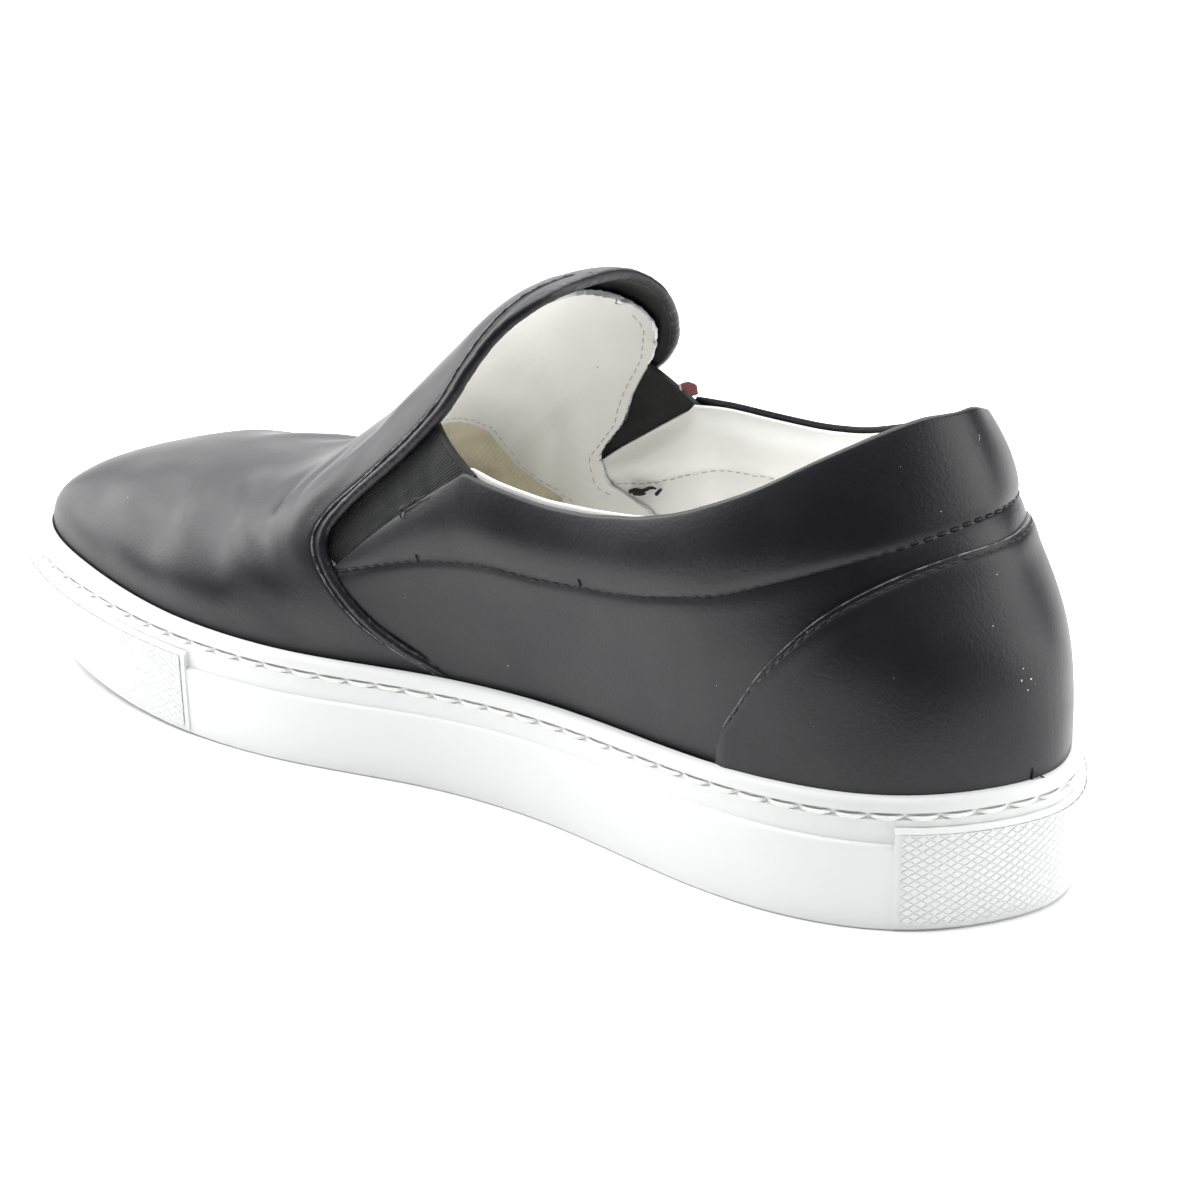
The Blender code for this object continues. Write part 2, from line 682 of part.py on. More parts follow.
def counter_grid():
    """The counter's outer face: over the quarters, round the back of the heel."""
    grid = []
    for rise in np.linspace(0, 1, COUNTER_ROWS):
        line = []
        for side in (1, -1):
            front = np.interp(COUNTER_SEAM[-1][0] * LENGTH - 0.001, *base_reach(side))
            shares = front * np.linspace(1, 0, COUNTER_COLUMNS) ** HEEL_CLOSENESS
            centre, _, _, _ = arch(shares)
            bottom = lip_height(centre[..., 0]) + GAP
            height = bottom + rise * (height_under(COUNTER_TOP, side, shares) - bottom)
            line.append(upper_point(side, shares, height=height))
        grid.append(np.vstack([line[0], line[1][-2::-1]]))
    grid = np.array(grid)
    return grid + outward(grid) * (GAP + COUNTER_SKIN)


def base_reach(side):
    shares = np.linspace(0, 1, 600)
    base, _ = foot(side, shares, upper_inset(shares))
    return np.maximum.accumulate(base[:, 0]), shares


def build_insole(material, home):
    """The insole: a pad on the cup's floor, inside the upper's walls."""
    shares = close_ends(40)

    def edge(at):
        return upper_inset(at) + WALL + 3 * GAP

    top = INSOLE_THICKNESS + GAP
    rings = [
        loop(shares, edge, lambda s, x: floor_height(x) + GAP),
        loop(shares, edge, lambda s, x: floor_height(x) + top - 0.0006),
        loop(shares, lambda s: edge(s) + 0.0008, lambda s, x: floor_height(x) + top),
    ]
    return ring_solid("insole", rings, material, home)


def build_tab(material, home):
    """A small plain woven tab, folded over and standing out from the outer gusset."""
    foot_point = surface_at(-1, np.array([TAB_ALONG * LENGTH]), np.array([TAB_UP * TONGUE_HEIGHT]))[0]
    sideways = surface_at(-1, np.array([TAB_ALONG * LENGTH + 0.002]), np.array([TAB_UP * TONGUE_HEIGHT]))[0]
    upwards = surface_at(-1, np.array([TAB_ALONG * LENGTH]), np.array([TAB_UP * TONGUE_HEIGHT + 0.002]))[0]
    along = (sideways - foot_point) / np.linalg.norm(sideways - foot_point)
    up = (upwards - foot_point) / np.linalg.norm(upwards - foot_point)
    out = np.cross(along, up)
    out *= -np.sign(out[1]) / np.linalg.norm(out)
    outline = []
    for t in np.linspace(0, math.pi, 7):
        outline.append((TAB_LENGTH - TAB_THICKNESS / 2 + math.sin(t) * TAB_THICKNESS / 2,
                        -math.cos(t) * TAB_THICKNESS / 2))
    outline = [(0, -TAB_THICKNESS / 2)] + outline + [(0, TAB_THICKNESS / 2)]
    depth = (GUSSET_REAR_DEPTH + GUSSET_FRONT_DEPTH) / 2
    bm = bmesh.new()
    rows = []
    for end in (-0.5, 0.5):
        start = foot_point + out * (GAP - depth) + up * end * TAB_WIDTH
        rows.append([bm.verts.new(to_frame(start + out * a + along * b)) for a, b in outline])
    count = len(outline)
    for i in range(count):
        j = (i + 1) % count
        bm.faces.new((rows[0][i], rows[0][j], rows[1][j], rows[1][i]))
    bm.faces.new(rows[0])
    bm.faces.new(rows[1])
    bmesh.ops.recalc_face_normals(bm, faces=bm.faces)
    mesh = bpy.data.meshes.new("label_tab")
    bm.to_mesh(mesh)
    bm.free()
    finish(mesh)
    return new_object("label_tab", mesh, material, home)


def main():
    for obj in list(bpy.data.objects):
        bpy.data.objects.remove(obj)
    home = bpy.data.collections.new("slip_on_sneaker")
    cutters = bpy.data.collections.new("cutters")
    for collection in (home, cutters):
        bpy.context.scene.collection.children.link(collection)
    rubber = surface("white_rubber", (0.86, 0.86, 0.85), 0.45)
    black = surface("black_leather", (0.020, 0.020, 0.022), 0.42)
    elastic = surface("black_elastic", (0.012, 0.012, 0.013), 0.75)
    lining = surface("insole_leather", (0.78, 0.76, 0.72), 0.60)
    red = surface("red_tape", (0.45, 0.02, 0.02), 0.70)
    build_sole(rubber, home, cutters)
    build_upper(black, home, cutters)
    build_gusset("gusset_inner", 1, elastic, home)
    build_gusset("gusset_outer", -1, elastic, home)
    grid_object("heel_counter", counter_grid(), black, home, COUNTER_SKIN)
    build_insole(lining, home)
    build_tab(red, home)


main()
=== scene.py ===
"""A right-foot slip-on sneaker: a black leather upper with elastic gussets on a white cup sole.

The frame is in metres: +X points to the toe, +Y to the inner side of the foot, +Z up.
The origin is on the floor, at the centre of the sole's outline.
"""

import math

import bmesh
import bpy
import numpy as np
from mathutils import Matrix, Vector


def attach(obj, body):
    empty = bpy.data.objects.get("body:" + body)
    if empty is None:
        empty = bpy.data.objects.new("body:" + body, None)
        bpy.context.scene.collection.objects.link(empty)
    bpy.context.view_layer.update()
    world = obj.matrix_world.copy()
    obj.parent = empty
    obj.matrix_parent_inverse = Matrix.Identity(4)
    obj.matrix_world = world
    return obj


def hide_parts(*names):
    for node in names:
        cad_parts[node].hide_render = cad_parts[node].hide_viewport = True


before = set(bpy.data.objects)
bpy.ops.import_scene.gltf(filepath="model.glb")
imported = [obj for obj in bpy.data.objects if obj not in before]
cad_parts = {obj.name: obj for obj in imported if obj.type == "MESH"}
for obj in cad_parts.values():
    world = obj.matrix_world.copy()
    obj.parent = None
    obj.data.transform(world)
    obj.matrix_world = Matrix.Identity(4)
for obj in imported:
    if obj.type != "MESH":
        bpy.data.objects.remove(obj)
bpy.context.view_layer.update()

bl_info = {
    "name": "Slip-on sneaker",
    "version": (1, 0, 0),
    "blender": (4, 5, 0),
    "location": "3D View > Sidebar > Sneaker",
    "description": "Builds a leather slip-on sneaker on a moulded cup sole, piece by piece",
    "category": "Add Mesh",
}

BODY = "root"
MM = 0.001

# The sole's outline, seen from above: along as a share of the length from the heel,
# across as a share of the ball's width, the inner side positive.
SOLE_OUTLINE = (
    (0.000, 0.000), (0.017, 0.155), (0.062, 0.305), (0.150, 0.400), (0.255, 0.393),
    (0.373, 0.347), (0.490, 0.366), (0.605, 0.448), (0.705, 0.476), (0.795, 0.452),
    (0.870, 0.402), (0.940, 0.318), (0.987, 0.190), (1.000, 0.040), (0.985, -0.120),
    (0.943, -0.278), (0.875, -0.416), (0.786, -0.500), (0.678, -0.520), (0.559, -0.480),
    (0.424, -0.432), (0.288, -0.408), (0.152, -0.388), (0.062, -0.305), (0.017, -0.160),
)
# Along the sole, as shares of the sole wall: the lip's height, the step's height,
# how far the bottom lifts off the floor, and how far the wall leans out above it.
SOLE_SECTIONS = (
    # along, lip, step, lift, lean
    (0.00, 1.00, 0.66, 0.00, 0.05),
    (0.20, 0.96, 0.66, 0.00, 0.02),
    (0.40, 0.90, 0.61, 0.00, 0.00),
    (0.60, 0.88, 0.57, 0.00, 0.00),
    (0.75, 0.93, 0.59, 0.02, 0.02),
    (0.90, 1.00, 0.66, 0.14, 0.08),
    (1.00, 1.05, 0.73, 0.30, 0.15),
)
# Along the upper: the ridge's height as a share of the tongue's, the squareness of the
# arch, and as shares of the ball's width the ridge's shift and the two walls' swell.
UPPER_SECTIONS = (
    # along, ridge, square, shift, inner, outer
    (0.000, 1.150, 2.8, 0.00, 0.000, 0.000),
    (0.150, 1.070, 2.8, 0.00, 0.010, 0.005),
    (0.300, 0.970, 2.8, 0.01, 0.040, 0.005),
    (0.400, 0.962, 2.8, 0.02, 0.060, 0.020),
    (0.430, 0.968, 2.8, 0.02, 0.060, 0.020),
    (0.458, 0.957, 2.7, 0.02, 0.055, 0.020),
    (0.481, 0.928, 2.6, 0.02, 0.050, 0.018),
    (0.508, 0.870, 2.5, 0.02, 0.040, 0.014),
    (0.532, 0.814, 2.4, 0.02, 0.030, 0.005),
    (0.556, 0.758, 2.3, 0.02, 0.020, 0.005),
    (0.583, 0.693, 2.2, 0.02, 0.010, 0.000),
    (0.613, 0.630, 2.2, 0.02, 0.005, 0.000),
    (0.640, 0.578, 2.2, 0.02, 0.000, 0.000),
    (0.671, 0.524, 2.2, 0.02, 0.000, 0.000),
    (0.708, 0.482, 2.2, 0.02, 0.000, 0.000),
    (0.770, 0.462, 2.2, 0.02, 0.000, 0.000),
    (0.868, 0.437, 2.2, 0.02, 0.000, 0.000),
    (0.935, 0.420, 2.3, 0.01, 0.000, 0.000),
    (1.000, 0.415, 2.3, 0.00, 0.000, 0.000),
)
# The back of the heel: height as a share of the back's height, forward lean as a share of the length.
HEEL_CURVE = (
    (0.25, 0.000), (0.33, -0.001), (0.42, 0.001), (0.53, 0.008), (0.61, 0.020), (0.69, 0.034),
    (0.76, 0.044), (0.83, 0.055), (0.90, 0.066), (0.94, 0.072), (1.00, 0.080),
)
# The quarters' top line: along, and the inner and outer edge's height as shares of the back's.
TOP_LINE = (
    (0.000, 0.990, 0.990), (0.091, 0.990, 0.988), (0.098, 0.992, 0.958), (0.111, 0.979, 0.926),
    (0.132, 0.947, 0.902), (0.154, 0.911, 0.874), (0.180, 0.864, 0.846), (0.209, 0.822, 0.808),
    (0.247, 0.774, 0.776), (0.283, 0.742, 0.764), (0.332, 0.715, 0.760), (0.373, 0.708, 0.757),
    (0.407, 0.716, 0.748), (0.451, 0.731, 0.735), (0.480, 0.745, 0.740),
)
# The vamp's rear edge: height as a share of the tongue's, and how far along it is on each side.
VAMP_EDGE = (
    (0.000, 0.460, 0.460), (0.224, 0.476, 0.474), (0.253, 0.501, 0.497), (0.286, 0.527, 0.521),
    (0.345, 0.556, 0.547), (0.404, 0.577, 0.566), (0.441, 0.586, 0.573), (0.472, 0.587, 0.573),
    (0.517, 0.577, 0.559), (0.584, 0.551, 0.528), (0.659, 0.519, 0.489), (0.722, 0.496, 0.456),
    (0.766, 0.482, 0.438), (0.814, 0.473, 0.428), (0.851, 0.466, 0.424), (0.900, 0.457, 0.422),
    (0.950, 0.445, 0.422), (1.000, 0.428, 0.424),
)
# The quarter's front edge above the gusset's lower corner: height share, inner and outer along.
GUSSET_EDGE = (
    (0.400, 0.578, 0.564), (0.452, 0.556, 0.538), (0.563, 0.504, 0.475), (0.658, 0.451, 0.416),
)
# The seam under the padded collar: along, height as a share of the back's height.
COLLAR_SEAM = (
    (0.000, 0.800), (0.044, 0.804), (0.057, 0.800), (0.078, 0.779), (0.105, 0.752), (0.144, 0.711),
    (0.179, 0.671), (0.202, 0.644), (0.242, 0.612), (0.291, 0.580), (0.334, 0.564), (0.384, 0.550),
    (0.422, 0.548), (0.448, 0.541), (0.492, 0.518), (0.525, 0.493), (0.553, 0.467), (0.620, 0.420),
)
# The heel counter's front and top seam: along, height as a share of the back's height.
COUNTER_SEAM = (
    (0.000, 0.740), (0.039, 0.748), (0.056, 0.744), (0.078, 0.728), (0.097, 0.701), (0.119, 0.658),
    (0.136, 0.616), (0.154, 0.559), (0.175, 0.484), (0.194, 0.401), (0.207, 0.333), (0.213, 0.280),
)
# The leather lining's rear edge: height as a share of the tongue's, and how far it lies
# ahead of the vamp's rear edge, as a share of the length.
LINING_EDGE = (
    (0.200, -0.070), (0.300, -0.110), (0.400, -0.116), (0.412, -0.100), (0.430, -0.070),
    (0.453, -0.064), (0.485, -0.055), (0.514, -0.047), (0.552, -0.045), (0.598, -0.037),
    (0.654, -0.015), (0.711, 0.001), (0.769, 0.010), (0.800, 0.014), (0.833, 0.018),
    (0.866, 0.026), (0.894, 0.036), (0.920, 0.042), (1.000, 0.046),
)
# Where the leather lining gives way to the canvas one: height share, along.
CANVAS_EDGE = (
    (0.000, 0.500), (0.330, 0.510), (0.357, 0.531), (0.378, 0.554), (0.401, 0.584), (0.435, 0.609),
    (0.490, 0.620), (0.558, 0.624), (1.000, 0.630),
)
# The vamp's soft creases on the inner side: height in mm, half width in mm, and the line as
# shares of the arc from heel to toe and of the arch from base to ridge.
CREASES = (
    (1.0, 3.4, ((0.560, 0.580), (0.572, 0.516), (0.600, 0.470), (0.604, 0.365), (0.592, 0.270),
        (0.580, 0.180))),
    (-1.3, 4.2, ((0.640, 0.800), (0.648, 0.686), (0.645, 0.489), (0.635, 0.355), (0.612, 0.223),
        (0.590, 0.150))),
    (1.5, 5.0, ((0.705, 0.860), (0.682, 0.684), (0.664, 0.500), (0.648, 0.367), (0.630, 0.215),
        (0.606, 0.040))),
    (-1.3, 5.0, ((0.726, 0.820), (0.702, 0.626), (0.682, 0.430), (0.668, 0.240), (0.650, 0.040))),
    (0.9, 4.2, ((0.770, 0.850), (0.742, 0.700), (0.724, 0.520), (0.712, 0.340), (0.700, 0.200))),
    (-1.1, 5.5, ((0.780, 0.760), (0.757, 0.600), (0.744, 0.421), (0.738, 0.270), (0.722, 0.080))),
    (0.9, 6.0, ((0.818, 0.760), (0.792, 0.544), (0.781, 0.359), (0.774, 0.120))),
    (-0.6, 5.5, ((0.856, 0.640), (0.834, 0.440), (0.822, 0.200))),
    (0.5, 2.6, ((0.528, 0.700), (0.552, 0.620), (0.580, 0.590), (0.600, 0.560))),
    (-0.5, 2.6, ((0.592, 0.720), (0.614, 0.620), (0.622, 0.520), (0.618, 0.430))),
)
# The outer side creases a little less, and a little further forward.
OUTER_CREASE = 0.8
OUTER_CREASE_SHIFT = 0.008

SIDES = (1, -1)


def a_length(name, description, default):
    """A size, in metres."""
    return bpy.props.FloatProperty(name=name, description=description, default=default, unit="LENGTH")


def a_colour(name, description, default):
    """A colour, as linear red, green, blue and alpha."""
    return bpy.props.FloatVectorProperty(
        name=name, description=description, subtype="COLOR", size=4, default=default)


class SneakerSizes(bpy.types.PropertyGroup):
    """The shoe's driving sizes, and the sizes of what is sewn and moulded on it."""

    length: a_length("Length", "The sole's length", 0.295)
    ball_width: a_length("Ball width", "The sole's width at the ball", 0.1010)
    back_height: a_length("Back height", "The heel's height", 0.1040)
    tongue_height: a_length("Tongue height", "The tongue's height", 0.1160)
    sole_wall: a_length("Sole wall", "The cup sole's height at the heel", 0.0300)
    cup_depth: a_length("Cup depth", "From the lip down to the cup's floor", 0.0120)
    lip_width: a_length("Lip width", "The rubber's width at the lip", 0.0042)
    crease: bpy.props.FloatProperty(
        name="Creases", description="How deep the vamp's creases are, against the worn ones", default=0.92)
    puff: a_length("Collar puff", "How far the padded collar swells out", 0.0012)
    stitch: a_length("Stitch", "The length of the upper's stitches", 0.0024)
    sole_stitch: a_length("Sole stitch", "The pitch of the stitches round the sole", 0.00735)
    diamond: a_length("Diamond", "The width of the moulded diamonds", 0.0029)
    rib: a_length("Rib", "The pitch of the elastic's ribs", 0.00080)


class SneakerColours(bpy.types.PropertyGroup):
    """The colours of the shoe's materials."""

    leather: a_colour("Leather", "The upper's leather", (0.0048, 0.0045, 0.0068, 1))
    rubber: a_colour("Rubber", "The sole's rubber", (0.725, 0.73, 0.73, 1))
    lining: a_colour("Lining", "The leather lining", (0.95, 0.95, 0.925, 1))
    canvas: a_colour("Canvas", "The canvas lining", (0.86, 0.79, 0.61, 1))
    elastic: a_colour("Elastic", "The gussets' webbing", (0.006, 0.006, 0.0065, 1))
    tape: a_colour("Tape", "The small tab", (0.10, 0.003, 0.003, 1))


def cubic(rows, column):
    """A natural cubic curve through a table's column, as a function of its first one."""
    x = np.array([row[0] for row in rows], float)
    y = np.array([row[column] for row in rows], float)
    step = np.diff(x)
    count = len(x)
    system = np.eye(count)
    bend = np.zeros(count)
    for i in range(1, count - 1):
        system[i, i - 1:i + 2] = step[i - 1], 2 * (step[i - 1] + step[i]), step[i]
        bend[i] = 6 * ((y[i + 1] - y[i]) / step[i] - (y[i] - y[i - 1]) / step[i - 1])
    second = np.linalg.solve(system, bend)

    def value(at):
        at = np.clip(np.asarray(at, float), x[0], x[-1])
        i = np.clip(np.searchsorted(x, at) - 1, 0, count - 2)
        width = x[i + 1] - x[i]
        after, before = at - x[i], x[i + 1] - at
        return (
            (second[i] * before**3 + second[i + 1] * after**3) / (6 * width)
            + (y[i] / width - second[i] * width / 6) * before
            + (y[i + 1] / width - second[i + 1] * width / 6) * after
        )

    return value


def straight(rows, column=1):
    """Straight lines through a table's column, as a function of its first one."""
    return lambda at: np.interp(at, [row[0] for row in rows], [row[column] for row in rows])


def eased(rows, column, reach=0.012):
    """Straight lines through a table's column, with their corners rounded off."""
    line = straight(rows, column)
    return lambda at: np.mean([line(np.asarray(at) + d) for d in np.linspace(-reach, reach, 9)], axis=0)


def closed_curve(points, count):
    """A smooth closed curve through the points, read off at count places."""
    p = np.array(points, float)
    size = len(p)
    chord = np.linalg.norm(np.roll(p, -1, axis=0) - p, axis=1)
    system = np.zeros((size, size))
    bend = np.zeros((size, 2))
    for i in range(size):
        before, after, following = chord[i - 1], chord[i], (i + 1) % size
        system[i, i - 1] += before
        system[i, i] += 2 * (before + after)
        system[i, following] += after
        bend[i] = 6 * ((p[following] - p[i]) / after - (p[i] - p[i - 1]) / before)
    second = np.linalg.solve(system, bend)
    reach = np.concatenate([[0], np.cumsum(chord)])
    at = np.linspace(0, reach[-1], count, endpoint=False)
    i = np.clip(np.searchsorted(reach, at, side="right") - 1, 0, size - 1)
    j = (i + 1) % size
    width = chord[i][:, None]
    after = (at - reach[i])[:, None]
    before = width - after
    return (
        (second[i] * before**3 + second[j] * after**3) / (6 * width)
        + (p[i] / width - second[i] * width / 6) * before
        + (p[j] / width - second[j] * width / 6) * after
    )


def smooth(value):
    """0 below 0, 1 above 1, and a soft turn between."""
    t = np.clip(value, 0, 1)
    return t * t * (3 - 2 * t)


def unit(vectors):
    return vectors / np.maximum(np.linalg.norm(vectors, axis=-1), 1e-9)[..., None]


# Sizes that the CAD source fixes
GAP = 0.0003
TOE_LIP = 0.0020
BAND_STEP = 0.0009
GROOVE_DEPTH = 0.0010
GROOVE_WIDTH = 0.0016
GROOVE_DROP = 0.0038
PATCH_RISE = 0.0005
PATCH_MARGIN = 0.0036
VAMP_STEP = 0.0013
UPPER_RISE = 0.0040
SWELL_REACH = 0.0360
OUTER_FULLNESS = 1.06
TOE_ROUND = 0.15
HEEL_LEAN_REACH = 0.34
HEEL_PATCH = 0.070
TOE_PATCH = 0.705


class Last:
    """The shoe's form: where the sole's wall and the upper's surface are, from the driving sizes."""

    def __init__(self, sizes):
        self.length, self.ball_width = sizes.length, sizes.ball_width
        self.back_height, self.tongue_height = sizes.back_height, sizes.tongue_height
        self.sole_wall, self.cup_depth, self.lip = sizes.sole_wall, sizes.cup_depth, sizes.lip_width
        self.lip_share, self.step_share, self.lift_share, self.lean_share = (
            cubic(SOLE_SECTIONS, column) for column in (1, 2, 3, 4))
        self.ridge, self.square, self.shift, swell_in, swell_out = (
            cubic(UPPER_SECTIONS, column) for column in range(1, 6))
        self.swell = {1: swell_in, -1: swell_out}
        self.heel_back = cubic(HEEL_CURVE, 1)
        self.top_share = {1: eased(TOP_LINE, 1), -1: eased(TOP_LINE, 2)}
        self.vamp_share = {1: cubic(VAMP_EDGE, 1), -1: cubic(VAMP_EDGE, 2)}
        self.gusset_share = {1: cubic(GUSSET_EDGE, 1), -1: cubic(GUSSET_EDGE, 2)}
        self.seam_share = cubic(COLLAR_SEAM, 1)
        self.counter_share = cubic(COUNTER_SEAM, 1)
        self.halves = self.outline_halves()
        self.lookup = {}

    def outline_halves(self):
        """The outline's inner and outer halves, heel to toe: arc shares, points, normals and length."""
        across = self.ball_width / self.length
        dense = closed_curve([(a, c * across) for a, c in SOLE_OUTLINE], 2400)
        dense[:, 0] = (dense[:, 0] - dense[:, 0].min()) / np.ptp(dense[:, 0])
        dense[:, 1] -= (dense[:, 1].max() + dense[:, 1].min()) / 2
        dense *= self.length
        tangent = np.roll(dense, -1, axis=0) - np.roll(dense, 1, axis=0)
        normal = unit(np.stack([-tangent[:, 1], tangent[:, 0]], axis=1))
        heel, toe = dense[:, 0].argmin(), dense[:, 0].argmax()
        span = (toe - heel) % len(dense)
        inner = (heel + np.arange(span + 1)) % len(dense)
        outer = (heel - np.arange(len(dense) - span + 1)) % len(dense)
        halves = {}
        for side, order in ((1, inner), (-1, outer)):
            points = dense[order]
            reach = reach_of(points)
            halves[side] = reach / reach[-1], points, normal[order], reach[-1]
        return halves

    def foot(self, side, share, inset):
        """The point at an arc share of one half of the outline, moved inwards, and its normal."""
        shares, points, normals, _ = self.halves[side]
        point, normal = read_off(share, shares, points), read_off(share, shares, normals)
        return point - normal * np.asarray(inset)[..., None], normal

    def along(self, share):
        """How far from the heel an arc share is: the mean of both halves, as a share of the length."""
        inner, outer = (self.foot(side, share, 0 * share)[0][..., 0] for side in SIDES)
        return (inner + outer) / 2 / self.length

    def lip_width(self, share):
        return self.lip + TOE_LIP * smooth((self.along(share) - 0.72) / 0.20)

    def upper_inset(self, share):
        return self.lip_width(share) + GAP

    def lip_height(self, x):
        return self.lip_share(x / self.length) * self.sole_wall

    def floor_height(self, x):
        return self.lip_height(x) - self.cup_depth

    def lift(self, x):
        return self.lift_share(x / self.length) * self.sole_wall

    def step_height(self, x):
        return self.step_share(x / self.length) * self.sole_wall

    def groove_height(self, x):
        return self.lip_height(x) - GROOVE_DROP

    def patch_top(self, x):
        return np.minimum(self.step_height(x) + PATCH_MARGIN, self.groove_height(x) - 0.0022)

    def lean(self, share):
        return self.lean_share(self.along(share)) * self.sole_wall

    def arch(self, share):
        """The upper's section at an arc share: its centre, base height, ridge height and squareness."""
        inner, _ = self.foot(1, share, self.upper_inset(share))
        outer, _ = self.foot(-1, share, self.upper_inset(share))
        centre = (inner + outer) / 2
        place = centre[..., 0] / self.length
        low = self.lip_height(centre[..., 0]) + UPPER_RISE * (1 - smooth((place - 0.70) / 0.20))
        width = np.linalg.norm(inner - outer, axis=-1)
        centre[..., 1] += self.shift(place) * self.ball_width * np.minimum(1, width / (0.5 * self.ball_width))
        tip = self.length - self.lip - TOE_LIP - GAP
        rounding = np.clip((tip - centre[..., 0]) / (TOE_ROUND * self.length), 0, 1)
        rounding = (1 - (1 - rounding) ** 2.1) ** (1 / 2.1)
        high = low + (self.ridge(place) * self.tongue_height - low) * rounding
        return centre, low, high, self.square(place)

    def point(self, side, share, height=None, angle=None):
        """A point of the upper's outer surface, at a height or at an angle of the arch."""
        centre, low, high, square = self.arch(share)
        square = square * (OUTER_FULLNESS if side < 0 else 1)
        base, normal = self.foot(side, share, self.upper_inset(share))
        if height is None:
            height = low + (high - low) * np.sin(angle) ** (2 / square)
            narrow = np.cos(angle) ** (2 / square)
        else:
            rise = np.clip((height - low) / np.maximum(high - low, 1e-6), 0, 1)
            narrow = (1 - rise**square) ** (1 / square)
        swell = self.swell[side](centre[..., 0] / self.length) * self.ball_width
        base = base + normal * (swell * smooth((height - low) / SWELL_REACH))[..., None]
        plan = centre + (base - centre) * narrow[..., None]
        lean = self.heel_back(height / self.back_height) * self.length
        reach = 1 - smooth(plan[..., 0] / (HEEL_LEAN_REACH * self.length))
        return np.stack([plan[..., 0] + lean * reach, plan[..., 1], height + 0 * reach], axis=-1)

    def surface_at(self, side, x, height):
        """The upper's outer surface at distances from the heel and heights."""
        if side not in self.lookup:
            shares = np.linspace(0, 1, 600)
            levels = np.linspace(0.010, 0.125, 160)
            s, h = np.meshgrid(shares, levels)
            reach = self.point(side, s.ravel(), height=h.ravel()).reshape(s.shape + (3,))[..., 0]
            self.lookup[side] = shares, levels, np.maximum.accumulate(reach, axis=1)
        shares, levels, reach = self.lookup[side]
        x, height = np.broadcast_arrays(np.asarray(x, float), np.asarray(height, float))
        spread = np.arange(len(shares)) * 1e-9
        found = []
        for at, level in zip(x.ravel(), height.ravel()):
            i = int(np.clip(np.searchsorted(levels, level) - 1, 0, len(levels) - 2))
            part = (level - levels[i]) / (levels[i + 1] - levels[i])
            found.append(np.interp(at, reach[i] * (1 - part) + reach[i + 1] * part + spread, shares))
        share = np.array(found)
        return self.point(side, share, height=height.ravel()).reshape(x.shape + (3,))

    def vamp_back(self, side, height):
        return self.vamp_share[side](height / self.tongue_height) * self.length

    def lining_back(self, side, height):
        share = height / self.tongue_height
        shorter = 0.007 * np.exp(-((share - 0.86) / 0.07) ** 2) if side < 0 else 0
        return (self.vamp_share[side](share) + straight(LINING_EDGE)(share) - shorter) * self.length

    def canvas_back(self, side, height):
        return straight(CANVAS_EDGE)(height / self.tongue_height) * self.length

    def quarter_top(self, side, x):
        """The height of the quarter's upper edge: the top line, then the gusset's rear edge."""
        share = x / self.length
        high = self.top_share[side](share) * self.back_height
        heights = np.linspace(GUSSET_EDGE[-1][0], GUSSET_EDGE[0][0] - 0.1, 120)
        reach = self.gusset_share[side](heights)
        slope = (reach[-25] - reach[-30]) / (heights[-25] - heights[-30])
        past = heights < GUSSET_EDGE[0][0]
        lowest = GUSSET_EDGE[0]
        reach = np.where(past, lowest[1 if side > 0 else 2] + (heights - lowest[0]) * slope, reach)
        edge = np.interp(share, reach, heights) * self.tongue_height
        return np.where(share < reach[0], high, np.minimum(high, edge))

    def collar_seam(self, x):
        return self.seam_share(x / self.length) * self.back_height

    def under(self, side, shares, curve):
        """Heights at arc shares whose points lie on a curve of height against distance."""
        centre, _, _, _ = self.arch(shares)
        height = curve(centre[..., 0])
        for _ in range(14):
            points = self.point(side, shares, height=height)
            height = (height + curve(points[:, 0])) / 2
        return height

    def wall_bottom(self, shares):
        centre, _, _, _ = self.arch(shares)
        return self.floor_height(centre[..., 0]) + GAP

    def share_at(self, side, place):
        shares, points, _, _ = self.halves[side]
        return float(np.interp(place * self.length, points[:, 0], shares))


def read_off(at, reach, points):
    """The points of a path at given distances along it, where reach holds each point's own distance."""
    return np.stack([np.interp(at, reach, points[:, k]) for k in range(points.shape[1])], axis=-1)


def reach_of(path):
    """How far along a path each of its points is."""
    return np.concatenate([[0], np.cumsum(np.linalg.norm(np.diff(path, axis=0), axis=1))])


def grid_normals(grid):
    """A grid's normals, turned to point away from the shoe's middle line."""
    normal = unit(np.cross(np.gradient(grid, axis=1), np.gradient(grid, axis=0)))
    middle = np.stack([grid[..., 0] * 0.8 + 0.0295, 0 * grid[..., 0], 0 * grid[..., 0] + 0.03], axis=-1)
    return normal * np.sign((normal * (grid - middle)).sum(-1).mean())


def ripple(points, size, seed):
    """A soft seeded unevenness between about -1 and 1, in waves of about the given size."""
    random = np.random.default_rng(seed)
    total = np.zeros(points.shape[:-1])
    for _ in range(7):
        way = unit(random.normal(size=3))
        pitch = size * random.uniform(0.7, 1.6)
        total += np.sin(points @ way * (2 * math.pi / pitch) + random.uniform(0, 6.28))
    return total / 4


# Meshes


def to_frame(last, points):
    """Moves points from the heel's end to the frame's origin, at the outline's centre."""
    return np.asarray(points) - np.array([last.length / 2, 0, 0])


